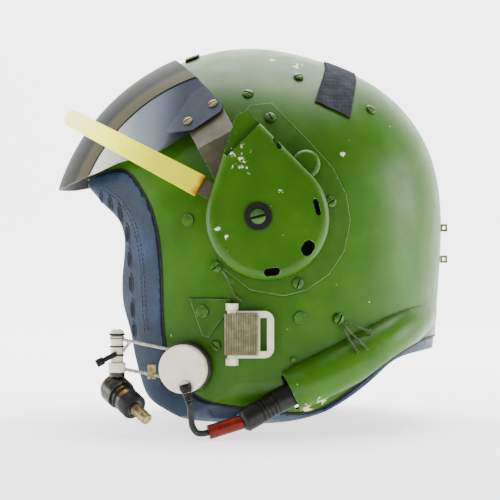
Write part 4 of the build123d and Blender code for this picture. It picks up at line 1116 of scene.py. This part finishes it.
def carry(made: Piece, body: str, slot: str, *nodes: str) -> Piece:
    """Lets a piece ride on a body, and stand for nodes if it has any.

    Args:
        made: the piece.
        body: the body that carries it.
        slot: the record's material slot, not used.
        *nodes: the nodes that it stands for.

    Returns:
        The same piece.
    """
    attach(made, body)
    if nodes:
        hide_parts(*nodes)
    return made


def stamped(name: str, spots: Sequence[tuple[Vector, Matrix, Vector]], master: Piece,
            finish: Finish) -> Piece:
    """Copies of a made piece at every spot, as one plain mesh.

    Args:
        name: the piece's name.
        spots: place, turn and size of each copy.
        master: what is copied.
        finish: their finish.

    Returns:
        The object.
    """
    made = points_object(name, spots, finish)
    return run_tree(made, copies_tree(), {"Copy": master, "Size": 1.0,
                                          "Finish": finish.material()})


def line_of_cord(name: str, points_mm: Sequence[tuple[float, float, float]], diameter: float,
                 facets: int, steps: int, finish: Finish) -> Piece:
    """A round cord on a smooth line through its points.

    Args:
        name: the piece's name.
        points_mm: the line's points in mm.
        diameter: the cord's diameter in metres.
        facets: how finely it is rounded.
        steps: how finely its line is cut.
        finish: its finish.

    Returns:
        The curve object.
    """
    data = bpy.data.curves.new(name, "CURVE")
    data.dimensions = "3D"
    spline = data.splines.new("NURBS")
    spline.points.add(len(points_mm) - 1)
    for point, place in zip(spline.points, points_mm):
        point.co = (*(c * MM for c in place), 1.0)
    spline.order_u = 3
    spline.use_endpoint_u = True
    data.bevel_depth = diameter / 2
    data.bevel_resolution = facets
    data.resolution_u = steps
    data.use_fill_caps = True
    data.materials.append(finish.material())
    made = bpy.data.objects.new(name, data)
    bpy.context.scene.collection.objects.link(made)
    return made


def cut_slot(head: Piece, size: tuple[float, float, float], place: Matrix) -> None:
    """Cuts a screwdriver slot into a head.

    Args:
        head: the head, changed here.
        size: the slot's length, width and depth.
        place: where its middle is, and how it is turned.
    """
    blade = bmesh.new()
    bmesh.ops.create_cube(blade, size=1.0)
    bmesh.ops.scale(blade, vec=size, verts=blade.verts)
    bmesh.ops.transform(blade, matrix=place, verts=blade.verts)
    cutter = from_bmesh("slot_cutter", blade, SCREW_PAINT)
    boolean = head.modifiers.new("slot", "BOOLEAN")
    boolean.operation, boolean.object, boolean.solver = "DIFFERENCE", cutter, "EXACT"
    baked(head)
    bpy.data.objects.remove(cutter)


def turn_to(axis: Vector, along: Vector) -> Matrix:
    """A turn whose Z is the axis and whose X leans along a direction.

    Args:
        axis: where Z points.
        along: where X leans to.

    Returns:
        The 3 by 3 rotation.
    """
    z = axis.normalized()
    x = (along - z * along.dot(z)).normalized()
    return Matrix((x, z.cross(x), z)).transposed()


def round_angles(sides: int) -> list[float]:
    """The angles of a ring's corners."""
    return [math.tau * k / sides for k in range(sides)]


def tube(name: str, path: Sequence[Vector], radius: float, finish: Finish,
         sides: int = 12) -> Piece:
    """A closed round tube along points, thinned at both ends.

    Args:
        name: the piece's name.
        path: its points.
        radius: its radius.
        finish: its finish.
        sides: facets round it.

    Returns:
        The object.
    """
    work = bmesh.new()
    rings = []
    side = Vector((0.0, 1.0, 0.0))
    for i, point in enumerate(path):
        way = (path[min(i + 1, len(path) - 1)] - path[max(i - 1, 0)]).normalized()
        across = way.cross(side).normalized()
        up = across.cross(way).normalized()
        size = radius * (0.45 if i in (0, len(path) - 1) else 1.0)
        rings.append([work.verts.new(point + (across * math.cos(a) + up * math.sin(a)) * size)
                      for a in round_angles(sides)])
    for low, high in zip(rings, rings[1:]):
        for k in range(sides):
            work.faces.new((low[k], low[(k + 1) % sides], high[(k + 1) % sides], high[k]))
    work.faces.new(rings[0])
    work.faces.new(rings[-1])
    return from_bmesh(name, work, finish, 60.0)


def lathe(profile: Sequence[tuple[float, float]], sides: int = 48) -> Work:
    """Turns a profile about Z into a closed shape.

    Args:
        profile: radius and height, from the axis at the bottom to the axis at the top.
        sides: facets round it.

    Returns:
        The bmesh.
    """
    work = bmesh.new()
    rings = []
    for radius, height in profile:
        if radius <= 0.0:
            rings.append([work.verts.new((0.0, 0.0, height))])
        else:
            rings.append([work.verts.new((radius * math.cos(a), radius * math.sin(a), height))
                          for a in round_angles(sides)])
    for low, high in zip(rings, rings[1:]):
        for k in range(sides):
            n = (k + 1) % sides
            # at the axis a ring is one point, so its corners fall together
            corners = list(dict.fromkeys((low[k % len(low)], low[n % len(low)],
                                          high[n % len(high)], high[k % len(high)])))
            if len(corners) > 2:
                work.faces.new(corners)
    return work


def cut_finer(work: Work, longest: float) -> None:
    """Cuts faces until no edge is longer than a length.

    Args:
        work: the mesh, changed here.
        longest: the length in mm.
    """
    for _ in range(6):
        long = [e for e in work.edges if e.calc_length() > longest * MM]
        if not long:
            break
        bmesh.ops.subdivide_edges(work, edges=long, cuts=1)
        bmesh.ops.triangulate(work, faces=[f for f in work.faces if len(f.verts) > 3])
    work.normal_update()


def fluffed(name: str, node: str, finish: Finish, slot: str, cut: float, swell: float,
            shrink: float, frames: int = 20, levels: int = 1) -> Piece:
    """Swells a soft solid with air pressure, as stuffing swells its cover.

    The node's copy is remeshed a little smaller, blown up as cloth without gravity, capped in how
    far each point may move, and subdivided. A thin-edged solid keeps its own faces, cut finer,
    because a remesh frays its edges.

    Args:
        name: the piece's name.
        node: the node it is made from, and stands for.
        finish: its finish.
        slot: the record's material slot.
        cut: the remesh size in mm, or a minus size that its own faces are cut to.
        swell: the cap on movement in mm.
        shrink: how much smaller it starts, in mm.
        frames: how many frames the cloth runs.
        levels: how often the result is subdivided.

    Returns:
        The object, standing for its node.
    """
    work = merged(node)
    if cut < 0:
        cut_finer(work, -cut)
    mesh = bpy.data.meshes.new(name)
    work.to_mesh(mesh)
    work.free()
    made = new_object(name, mesh, finish)
    if cut > 0:
        remesh = made.modifiers.new("remesh", "REMESH")
        remesh.mode = "VOXEL"
        remesh.voxel_size = cut * MM
        baked(made)
    start = np.empty(len(made.data.vertices) * 3)
    made.data.vertices.foreach_get("co", start)
    normals = np.array([v.normal[:] for v in made.data.vertices])
    start = start.reshape(-1, 3) - normals * shrink * MM
    made.data.vertices.foreach_set("co", start.ravel())
    made.data.update()
    cloth = made.modifiers.new("cloth", "CLOTH")
    cloth.settings.use_pressure = True
    cloth.settings.uniform_pressure_force = STUFFING_PRESSURE
    cloth.settings.effector_weights.gravity = 0.0
    cloth.point_cache.frame_start = 1
    cloth.point_cache.frame_end = frames
    for number in range(1, frames + 1):
        bpy.context.scene.frame_set(number)
    baked(made)
    bpy.context.scene.frame_set(1)
    moved = np.empty(len(made.data.vertices) * 3)
    made.data.vertices.foreach_get("co", moved)
    step = moved.reshape(-1, 3) - start
    far = np.linalg.norm(step, axis=1, keepdims=True)
    step *= np.minimum(1.0, swell * MM / np.maximum(far, 1e-9))
    made.data.vertices.foreach_set("co", (start + step).ravel())
    if levels:
        smooth = made.modifiers.new("smooth", "SUBSURF")
        smooth.levels = smooth.render_levels = levels
        baked(made)
    made.data.shade_smooth()
    made.data.set_sharp_from_angle(angle=math.radians(60))
    made.data.materials.clear()
    made.data.materials.append(finish.material())
    carry(made, "helmet", slot, node)
    return made


# ---------------------------------------------------------------------------------------------
# Sub-assemblies


@dataclass
class Studio:
    """The camera at the picture's angle, the paper sweep and the soft boxes.

    The lens and its sensor are in mm, and the paper's sizes in metres.
    """

    lens: float = 117.0
    sensor: float = 36.0
    room: str = "f4f6f8"
    room_light: float = 0.3
    floor_drop: float = 0.0005
    paper_half: float = 4.0
    paper_front: float = -3.0
    paper_back: float = 1.2
    paper_top: float = 3.5
    sweep_round: float = 0.6

    def build(self) -> None:
        """Sets the camera, the lights, the pale surroundings and the paper."""
        data = bpy.data.cameras.new("side_view")
        data.lens, data.sensor_width, data.clip_start = self.lens, self.sensor, 0.01
        camera = bpy.data.objects.new("side_view", data)
        camera.location, camera.rotation_euler = EYE, (math.radians(90), 0.0, 0.0)
        bpy.context.scene.collection.objects.link(camera)
        bpy.context.scene.camera = camera
        world = bpy.data.worlds.new("pale_room")
        world.use_nodes = True
        back = world.node_tree.nodes["Background"]
        back.inputs["Color"].default_value = linear(self.room)
        back.inputs["Strength"].default_value = self.room_light
        bpy.context.scene.world = world
        for box in Light:
            self.soft_box(box)
        self.paper()

    def soft_box(self, box: Light) -> None:
        """Hangs one soft box, turned to what it lights.

        Args:
            box: which one.
        """
        place, target, size, power = box.value
        data = bpy.data.lights.new(box.name.lower(), "AREA")
        data.size, data.energy = size, power
        lamp = bpy.data.objects.new(box.name.lower(), data)
        lamp.location = place
        aim = Vector(target) - Vector(place)
        lamp.rotation_euler = aim.to_track_quat("-Z", "Y").to_euler()
        bpy.context.scene.collection.objects.link(lamp)

    def paper(self) -> None:
        """Lays the paper: a floor that curves up behind into a wall."""
        low = cad_box[0].z - self.floor_drop
        bend, back = self.sweep_round, self.paper_back
        profile = [(self.paper_front, low)]
        profile += [(back + bend * math.sin(a), low + bend * (1 - math.cos(a)))
                    for a in (math.pi / 2 * k / SWEEP_STEPS for k in range(SWEEP_STEPS + 1))]
        profile.append((back + bend, low + self.paper_top))
        work = bmesh.new()
        rows = [[work.verts.new((x, y, z)) for x in (-self.paper_half, self.paper_half)]
                for y, z in profile]
        for a, b in zip(rows, rows[1:]):
            work.faces.new((a[0], a[1], b[1], b[0]))
        from_bmesh("paper_sweep", work, PAPER, 60.0)


@dataclass
class CommsLead:
    """The microphone lead: out of the cap's gland, round under the rim, into its red sleeve.

    Its length and diameter are in metres.
    """

    points_mm: tuple[tuple[float, float, float], ...] = (
        (-50.8, -137.6, -126.0), (-48.5, -138.2, -134.5), (-47.9, -139.0, -142.7),
        (-47.1, -139.8, -150.3), (-42.2, -140.3, -156.0), (-35.4, -139.0, -154.0))
    length: float = 0.0388
    diameter: float = 0.0046

    def build(self) -> Piece:
        """Lays the lead on its smooth line.

        Returns:
            The lead.
        """
        lead = line_of_cord("comms_lead", self.points_mm, self.diameter, 5, 16, CABLE)
        carry(lead, "helmet", "cable_rubber", "comms_cord")
        return lead


@dataclass
class BrownLace:
    """The end of the edge roll's lace, standing out behind the conduit, knotted at its tip.

    At 14 mm it is shorter than the least length that a free cord is declared at.
    """

    points_mm: tuple[tuple[float, float, float], ...] = (
        (97.9, -62.0, -102.9), (101.2, -60.6, -102.9), (106.2, -58.2, -101.1),
        (110.3, -56.0, -100.6))
    diameter: float = 0.0016
    knot: float = 0.5

    def build(self) -> Piece:
        """Lays the lace and ties its end.

        Returns:
            The lace.
        """
        lace = line_of_cord("brown_lace", self.points_mm, self.diameter, 3, 12, LACE)
        carry(lace, "helmet", "webbing", "lace_end")
        tip = Vector(self.points_mm[-1]) * MM
        turns = [math.tau * k / 40 for k in range(41)]
        loops = [tip + Vector((math.sin(t) + 2 * math.sin(2 * t), -math.sin(3 * t),
                               math.cos(t) - 2 * math.cos(2 * t))) * self.knot * MM * 0.8
                 for t in turns]
        carry(tube("brown_lace_knot", loops, self.knot * MM, LACE, 8), "helmet", "webbing")
        return lace


@dataclass
class CrownTape:
    """The hook-and-loop tape over the crown: one laid strip, its edges cut and glued.

    Its width and length are in metres; its fray, its cut and its beads of glue in mm.
    """

    width: float = 0.025
    length: float = 0.204
    fray: float = 0.22
    fray_change: float = 1.7
    fine: float = 2.2
    beads: tuple[float, float] = (0.12, 0.52)
    bead_change: float = 5.0

    def build(self) -> Piece:
        """Lays the tape and its glue.

        Returns:
            The tape.
        """
        work = merged("tape_patch")
        cut_finer(work, self.fine)
        for vert in work.verts:
            sharp = any(e.calc_face_angle(0.0) > CUT_EDGE for e in vert.link_edges)
            size = self.fray if sharp else self.fray * 0.25
            vert.co += noise.noise_vector(vert.co * per_metre(self.fray_change)) * size * MM
        rim = sorted((e for e in work.edges if e.calc_face_angle(0.0) > CUT_EDGE),
                     key=lambda e: tuple(round(c, 5) for c in (e.verts[0].co + e.verts[1].co)))
        glue_at = [(e.verts[0].co + e.verts[1].co) / 2 for e in rim]
        tape = carry(from_bmesh("crown_tape", work, TAPE, 40.0), "helmet", "webbing",
                     "tape_patch")
        self.glue(glue_at)
        return tape

    def glue(self, places: Sequence[Vector]) -> None:
        """Beads of old glue along the cut edges, of uneven size.

        Args:
            places: where the edges are.
        """
        least, most = self.beads
        spots: list[tuple[Vector, Matrix, Vector]] = []
        for place in places:
            swell = 0.5 + 0.5 * noise.noise(place * per_metre(self.bead_change))
            big = (least + (most - least) * swell) * MM
            spots.append((place, Matrix.Identity(3), Vector((big, big, big))))
        bead = bmesh.new()
        bmesh.ops.create_icosphere(bead, subdivisions=1, radius=1.0)
        master = from_bmesh("glue_master", bead, OLD_GLUE)
        made = stamped("crown_tape_glue", spots, master, OLD_GLUE)
        made.data.shade_smooth()
        bpy.data.objects.remove(master)
        carry(made, "helmet", "webbing")


@dataclass
class EdgeRoll:
    """The leather roll round the face: felt-filled, punched with slots and sewn twice.

    Each slot is a picture place with its length in picture units and its slant in degrees; each
    row of stitches is a run of picture places. A stitch has its pitch, length and thickness. What
    isn't a picture place is in mm.
    """

    fine: float = 3.6
    swell: float = 0.9
    slots_px: tuple[tuple[float, float, float, float], ...] = (
        (92, 191, 10, 40), (101, 196.5, 10, 42), (110, 203, 13, 50), (120, 213.5, 15, 62),
        (127.5, 234, 15, 80), (129.5, 259, 15, 88), (131, 284, 15, 88), (132.5, 309, 15, 88),
        (134, 330, 12, 85))
    rows_px: tuple[tuple[tuple[float, float], ...], ...] = (
        ((104, 190), (117, 200), (128, 214), (133.5, 228), (137, 243), (139.5, 261),
         (141, 280), (142, 299), (143, 317), (145, 334)),
        ((106.5, 187.5), (119.5, 198), (131, 213), (136.5, 227.5), (140, 243), (142.7, 261),
         (144.2, 280), (145.2, 299), (146.2, 317), (148, 333)))

    slot_high: float = 1.9
    slot_deep: float = 1.0
    stitch_mm: tuple[float, float, float] = (3.4, 2.7, 0.9)

    def seen(self, tree: BVHTree, across: float, down: float) -> tuple[Vector, Vector] | None:
        """Where the sight line through a picture place meets the roll.

        Args:
            tree: the roll's faces.
            across: picture place across.
            down: picture place down.

        Returns:
            The point and the outward normal, or None.
        """
        point, normal, _, _ = tree.ray_cast(EYE, sight(across, down))
        return (point, normal) if point else None

    def build(self) -> Piece:
        """Swells the roll, then punches and sews it.

        Returns:
            The roll.
        """
        roll = fluffed("leather_roll", "edge_roll", BLUE_LEATHER, "blue_leather", -self.fine,
                       self.swell, 0.0, levels=0)
        work = bmesh.new()
        work.from_mesh(roll.data)
        tree = BVHTree.FromBMesh(work)
        work.free()
        self.punch(tree)
        self.sew(tree)
        return roll

    def punch(self, tree: BVHTree) -> None:
        """Sets a welted oval slot at each place, on both sides.

        Args:
            tree: the roll's faces.
        """
        spots: list[tuple[Vector, Matrix, Vector]] = []
        for across, down, length, slant in self.slots_px:
            hit = self.seen(tree, across, down)
            if hit is None:
                continue
            point, normal = hit
            lean = math.radians(slant)
            along = Vector((math.cos(lean), 0.0, -math.sin(lean)))
            # a picture unit is 0.8 mm, and half of that goes to each side of the slot's middle
            size = Vector((length * 0.4, self.slot_high, self.slot_deep)) * MM
            for side in Side:
                flip = Vector((1.0, -side.value, 1.0))
                axis = Vector(normal * flip)
                spots.append((Vector(point * flip), turn_to(axis, Vector(along * flip)), size))
        # the fill of each slot: the felt beneath, near black as painted shade in the hole
        felt = from_bmesh("slot_master", lathe(
            ((0.0, -0.5), (0.96, -0.5), (1.0, 0.05), (0.86, 0.14), (0.0, 0.14)), 24), SHADED_SLOT_FELT)
        welt = from_bmesh("welt_master", lathe(
            ((0.9, -0.4), (1.5, -0.4), (1.42, 0.1), (1.22, 0.32), (1.04, 0.24), (0.93, 0.0),
             (0.9, -0.4)), 24), BLUE_LEATHER)
        for name, master, finish, slot in (("roll_slots", felt, SHADED_SLOT_FELT, "foam"),
                                           ("roll_slot_welts", welt, BLUE_LEATHER,
                                            "blue_leather")):
            made = stamped(name, spots, master, finish)
            made.data.shade_smooth()
            bpy.data.objects.remove(master)
            carry(made, "helmet", slot)

    def sew(self, tree: BVHTree) -> None:
        """Sews the two rows on each side.

        Args:
            tree: the roll's faces.
        """
        runs: list[list[Vector]] = []
        for row in self.rows_px:
            fine = [(a[0] + (b[0] - a[0]) * s, a[1] + (b[1] - a[1]) * s)
                    for a, b in zip(row, row[1:]) for s in (0.0, 0.25, 0.5, 0.75)]
            hits = [h for h in (self.seen(tree, *p) for p in fine) if h]
            for side in Side:
                flip = Vector((1.0, -side.value, 1.0))
                runs.append([Vector(p * flip) for p, _ in hits])
        pitch, length, thick = (size * MM for size in self.stitch_mm)
        made = run_tree(line_object("roll_stitches", runs, THREAD), stitch_tree(), {
            "Pitch": pitch, "Length": length, "Thickness": thick, "Finish": THREAD.material()})
        carry(made, "helmet", "blue_leather")


@dataclass
class Lining:
    """What the head meets: foam liner, leather pads and ear seals.

    Each has its remesh size and the cap on its swelling, in mm.
    """

    liner: tuple[float, float] = (4.5, 0.3)
    pad_shrink: float = 1.0
    pads: tuple[tuple[str, str, float, float], ...] = (
        ("crown_cushion", "crown_pad", 4.0, 2.6), ("brow_cushion", "brow_pad", 3.5, 2.2),
        ("nape_cushion", "nape_pad", 3.5, 2.2), ("ear_cushion_l", "ear_seal_l", 3.0, 1.6),
        ("ear_cushion_r", "ear_seal_r", 3.0, 1.6))

    def build(self) -> None:
        """Swells each pad and softens the liner."""
        cut, swell = self.liner
        fluffed("liner_foam", "foam_liner", FOAM, "foam", cut, swell, swell, frames=4)
        for name, node, cut, swell in self.pads:
            fluffed(name, node, PAD_LEATHER, "pad_leather", cut, swell, self.pad_shrink)


@dataclass
class Fasteners:
    """Slotted and domed heads, each set over its own node's place.

    A head's sizes are shares of its radius. Each node's slots lie at its own angle. On the shell
    they are turned from screw to screw, as drivers leave them; the visor's are in line.
    """

    rim: float = 0.22
    dome: float = 0.42
    slot_width: float = 0.3
    turn_deg: float = 37.0
    slots_deg: tuple[tuple[str, float], ...] = (
        ("plate_screws", 35.0), ("shell_screws", -30.0), ("visor_screws", 28.0),
        ("strap_screws", -40.0), ("lace_screw", 60.0), ("hub_screws", 15.0))

    def head(self) -> Piece:
        """One head of unit radius, with its slot cut.

        Returns:
            The head, for the tree to copy.
        """
        profile = [(0.0, 0.0), (0.97, 0.0), (1.0, 0.06), (1.0, self.rim)]
        profile += [(math.cos(a), self.rim + self.dome * math.sin(a))
                    for a in (math.radians(d) for d in (12, 26, 40, 54, 66, 78))]
        profile.append((0.0, self.rim + self.dome))
        head = from_bmesh("head_master", lathe(profile), SCREW_PAINT, 40.0)
        cut_slot(head, (3.0, self.slot_width, 0.7), Matrix.Translation((0.0, 0.0, 0.55)))
        head.data.shade_smooth()
        head.data.set_sharp_from_angle(angle=math.radians(32))
        return head

    def build(self) -> None:
        """Sets the heads of every fastener node, each node's on its own body."""
        head = self.head()
        for node, slant in self.slots_deg:
            on_visor = node == "visor_screws"
            spots = []
            for i, (centre, axis, radius, height) in enumerate(islands(node)):
                lean = math.radians(slant if on_visor else slant + self.turn_deg * (i % 3))
                along = Vector((math.cos(lean), 0.0, math.sin(lean)))
                tall = height / (self.rim + self.dome)
                spots.append((centre - axis * height / 2, turn_to(axis, along),
                              Vector((radius, radius, tall))))
            made = stamped(f"{node}_heads", spots, head, NODE_FINISH[node])
            carry(made, "visor" if on_visor else "helmet",
                  "brass_worn" if on_visor else "screw_paint", node)
        bpy.data.objects.remove(head)


@dataclass
class Visor:
    """The visor's crease line: a thin black tube in the crease on each side, a painted shadow
    line.

    The line is felt for with rays that point at the middle of the lens's side, one each step of a
    sweep that starts low in front. Lengths are in mm.
    """

    centre_mm: tuple[float, float] = (-1.3, -23.5)
    crease_out: float = 75.3
    line_radius: float = 0.65
    start_deg: float = 172.0
    sweep_deg: float = 110.0
    step_deg: float = 0.5

    def crease(self, tree: BVHTree, side: Side) -> list[Vector]:
        """The crease's line on one side, found on the lens from outside.

        Args:
            tree: the lens's faces.
            side: which side.

        Returns:
            The line's points.
        """
        middle = Vector((self.centre_mm[0] * MM, side.value * self.crease_out * MM,
                         self.centre_mm[1] * MM))
        points = []
        for step in range(int(self.sweep_deg / self.step_deg) + 1):
            angle = math.radians(self.start_deg - step * self.step_deg)
            way = Vector((math.cos(angle), 0.0, math.sin(angle)))
            # from 300 mm out, in to 80 mm from the middle
            point, _, _, _ = tree.ray_cast(middle + way * 0.3, -way, 0.22)
            if point:
                points.append(point)
        return points

    def build(self) -> None:
        """Lays the crease lines."""
        work = merged("visor_lens")
        tree = BVHTree.FromBMesh(work)
        work.free()
        for side in Side:
            # painted shadow: a black line laid along the crease
            made = tube(f"visor_crease_line_{side.name.lower()}", self.crease(tree, side),
                        self.line_radius * MM, BLACK_RUBBER)
            carry(made, "visor", "black_trim")


@dataclass
class Webbing:
    """The ribbed strap end on each buckle: ribs run up it, wefts cross it. Sizes are in mm."""

    ribs: int = 14
    rib_rise: float = 0.75
    weft_mm: float = 1.1
    weft_rise: float = 0.07
    cuts_a_rib: int = 8
    cuts_down: int = 60
    flat_from: float = 2.0
    proud: float = 0.02

    def build(self) -> None:
        """Weaves both sides."""
        for side in Side:
            tag = "l" if side is Side.LEFT else "r"
            low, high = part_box(f"webbing_{tag}")
            made = carry(self.strap(f"strap_webbing_{tag}", low, high, side), f"buckle_{tag}",
                         "webbing", f"webbing_{tag}")

    def strap(self, name: str, low: Vector, high: Vector, side: Side) -> Piece:
        """One piece of webbing in the node's place, rounded behind the bar that it turns on.

        Args:
            name: the piece's name.
            low: the node's lowest corner.
            high: its highest corner.
            side: which side it is on.

        Returns:
            The webbing.
        """
        across, down = self.ribs * self.cuts_a_rib, self.cuts_down
        out = side.value
        swing = next(j for j in frame["record"]["behaviour"]["joints"]
                     if j["name"] == f"buckle_swing_{name[-1]}")
        bar_x, bar_y = swing["pos_m"][0], swing["pos_m"][1]
        turn = bar_x - low.x
        work = bmesh.new()
        front, rear = [], []
        for j in range(down + 1):
            t = j / down
            z = low.z + (high.z - low.z) * t
            row_f, row_r = [], []
            for i in range(across + 1):
                s = i / across
                x = low.x + (high.x - low.x) * s
                rib = abs(math.sin(math.pi * s * self.ribs)) ** 0.6
                over = math.pi if int(s * self.ribs) % 2 else 0.0
                weft = math.sin(math.tau * (z / (self.weft_mm * MM)) + over)
                # round the bar, then straight on at the same thickness
                half = math.sqrt(max(turn ** 2 - min(x - bar_x, 0.0) ** 2, 0.0))
                keep = min(1.0, half / (self.flat_from * MM))
                sunk = MM * keep * (self.rib_rise * (1 - rib) - self.weft_rise * weft)
                half += self.proud * MM
                row_f.append(work.verts.new((x, bar_y + out * (half - sunk), z)))
                row_r.append(work.verts.new((x, bar_y - out * half, z)))
            front.append(row_f)
            rear.append(row_r)
        for j in range(down):
            for i in range(across):
                work.faces.new((front[j][i], front[j][i + 1], front[j + 1][i + 1],
                                front[j + 1][i]))
                work.faces.new((rear[j][i], rear[j + 1][i], rear[j + 1][i + 1], rear[j][i + 1]))
        for i in range(across):
            work.faces.new((front[0][i], rear[0][i], rear[0][i + 1], front[0][i + 1]))
            work.faces.new((front[-1][i], front[-1][i + 1], rear[-1][i + 1], rear[-1][i]))
        for j in range(down):
            work.faces.new((front[j][0], front[j + 1][0], rear[j + 1][0], rear[j][0]))
            work.faces.new((front[j][-1], rear[j][-1], rear[j + 1][-1], front[j + 1][-1]))
        return from_bmesh(name, work, WEBBING, 70.0)


@dataclass
class Microphone:
    """The post's rings and head, the body's rings, the lead's gland and the thread's crests.

    The post is given as picture places: across, its top ring and its foot. The body's two ends
    are picture places with their distance from the mid-plane in mm. The body's ring and its end
    piece lie at shares of its length. The rest is in mm.
    """

    post: tuple[float, float, float] = (117.5, 338.0, 363.5)
    body_from: tuple[float, float, float] = (110.0, 384.0, 106.0)
    body_to: tuple[float, float, float] = (135.0, 408.0, 127.0)
    band: float = 0.55
    post_ring: float = 5.0
    post_slot: tuple[float, float, float] = (14.0, 1.3, 3.0)
    post_slot_deg: float = 100.0
    body_ring: float = 9.35
    body_ring_at: tuple[float, float] = (0.56, 0.60)
    end_from: float = 0.72
    stub_length: float = 16.0
    stub_pitch: float = 1.6
    crest: tuple[float, float] = (3.9, 0.42)

    def build(self) -> None:
        """Adds the rings and the thread's crests."""
        self.post_rings()
        self.post_head()
        self.body_rings()
        self.end_ring()
        self.gland()
        self.thread()

    def ring_row(self, name: str, path: list[Vector], pitch: float, radius: float, band: float,
                 finish: Finish, body: str, slot: str) -> None:
        """Strings rings along a line and lets them ride on a body.

        Args:
            name: the piece's name.
            path: the line.
            pitch: the distance between rings.
            radius: their radius in mm.
            band: the radius of their section in mm.
            finish: their finish.
            body: the body they ride on.
            slot: the record's material slot.
        """
        made = run_tree(line_object(name, [path], finish), ring_tree(), {
            "Pitch": pitch, "Radius": radius * MM, "Band": band * MM,
            "Finish": finish.material()})
        carry(made, body, slot)

    def post_rings(self) -> None:
        """Three black rings round the white post."""
        low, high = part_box("mic_post")
        middle = (low + high) / 2
        top = at_depth(*self.post[:2], -middle.y / MM).z
        foot = at_depth(self.post[0], self.post[2], -middle.y / MM).z
        step = (top - foot) / 3
        path = [Vector((middle.x, middle.y, foot + step * k)) for k in (0, 1, 2, 3)]
        self.ring_row("post_rings", path, step * 0.999, self.post_ring, self.band, BLACK_RUBBER,
                      "boom", "black_trim")

    def turned(self, name: str, profile: Sequence[tuple[float, float]], start: Vector,
               way: Vector, finish: Finish, body: str, slot: str) -> Piece:
        """A turned piece set along a direction.

        Args:
            name: the piece's name.
            profile: radius and height in mm.
            start: where its height starts.
            way: where its height points.
            finish: its finish.
            body: the body it rides on.
            slot: the record's material slot.

        Returns:
            The object.
        """
        work = lathe([(r * MM, h * MM) for r, h in profile])
        across = Vector((0.3, 0.8, 0.5))
        bmesh.ops.transform(work, matrix=Matrix.Translation(start) @ turn_to(
            way, across).to_4x4(), verts=work.verts)
        return carry(from_bmesh(name, work, finish, 40.0), body, slot)

    def post_head(self) -> None:
        """The domed screw head on the post: slotted, over a black washer."""
        low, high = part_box("mic_post")
        top = Vector(((low.x + high.x) / 2, (low.y + high.y) / 2, high.z))
        up = Vector((0.0, 0.0, 1.0))
        self.turned("post_washer", ((0.0, 0.05), (5.7, 0.05), (6.0, 0.4), (6.0, 0.9), (5.6, 1.2),
                                    (0.0, 1.2)), top, up, BLACK_RUBBER, "boom", "black_trim")
        dome = [(0.0, 1.25), (5.2, 1.25), (5.4, 1.6)]
        dome += [(5.4 * math.cos(a), 1.6 + 3.0 * math.sin(a))
                 for a in (math.radians(d) for d in (15, 30, 45, 60, 75))]
        head = self.turned("post_head", dome + [(0.0, 4.6)], top, up, WHITE, "boom",
                           "white_plastic")
        length, width, depth = (size * MM for size in self.post_slot)
        cut_slot(head, (length, width, depth), Matrix.Translation(
            top + up * 5.0 * MM) @ Matrix.Rotation(math.radians(self.post_slot_deg), 4, "Z"))

    def end_ring(self) -> None:
        """The black end piece of the microphone's body, round the stub."""
        start, end = self.body_line()
        way = end - start
        first = self.end_from
        profile = [(radius, share * way.length / MM) for radius, share in (
            (6.0, first), (9.3, first), (9.6, first + 0.03), (9.6, 0.97), (9.1, 1.0), (6.4, 1.01),
            (6.0, 0.98), (6.0, first))]
        self.turned("mic_end_ring", profile, start, way.normalized(), BLACK_RUBBER, "microphone",
                    "black_trim")

    def gland(self) -> None:
        """The tapered strain relief where the lead leaves the cap."""
        points = CommsLead().points_mm
        start = Vector(points[0]) * MM
        way = (Vector(points[1]) * MM - start).normalized()
        profile = [(2.35, -6.5), (4.1, -6.5), (4.3, -5.8), (4.3, -2.5), (3.7, -1.6)]
        for k in range(5):
            height = -1.2 + k * 1.9
            profile += [(3.65 - 0.22 * k, height), (3.65 - 0.22 * k, height + 1.1),
                        (3.05 - 0.15 * k, height + 1.3), (3.05 - 0.15 * k, height + 1.7)]
        profile += [(2.35, 8.4), (2.35, -6.5)]
        self.turned("cable_gland", profile, start, way, BLACK_OXIDE, "helmet", "black_trim")

    def body_line(self) -> tuple[Vector, Vector]:
        """The microphone's start and its end."""
        return at_depth(*self.body_from), at_depth(*self.body_to)

    def body_rings(self) -> None:
        """The black ring round the body's middle."""
        start, end = self.body_line()
        way = end - start
        path = [start + way * at for at in self.body_ring_at]
        self.ring_row("mic_body_ring", path, way.length * 0.03, self.body_ring, self.band,
                      BLACK_RUBBER, "microphone", "black_trim")

    def thread(self) -> None:
        """The crests of the threaded stub."""
        start, end = self.body_line()
        way = (end - start).normalized()
        path = [end + way * 1.2 * MM, end + way * (self.stub_length - 1.0) * MM]
        self.ring_row("mic_thread_crests", path, self.stub_pitch * MM, *self.crest, BRASS,
                      "microphone", "brass_worn")


def dress_nodes() -> None:
    """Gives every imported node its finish."""
    for name, node in frame["nodes"].items():
        finish = NODE_FINISH[name].material()
        if node.data.materials:
            for i in range(len(node.data.materials)):
                node.data.materials[i] = finish
        else:
            node.data.materials.append(finish)


def main() -> None:
    """Builds the studio, the cords and each sub-assembly."""
    logging.basicConfig(level=logging.INFO, format="%(message)s")
    dress_nodes()
    for part in (Studio(), CommsLead(), BrownLace(), EdgeRoll(), Lining(), CrownTape(),
                 Fasteners(), Visor(), Webbing(), Microphone()):
        part.build()
        log.info("built %s", type(part).__name__)


if __name__ == "__main__":
    main()
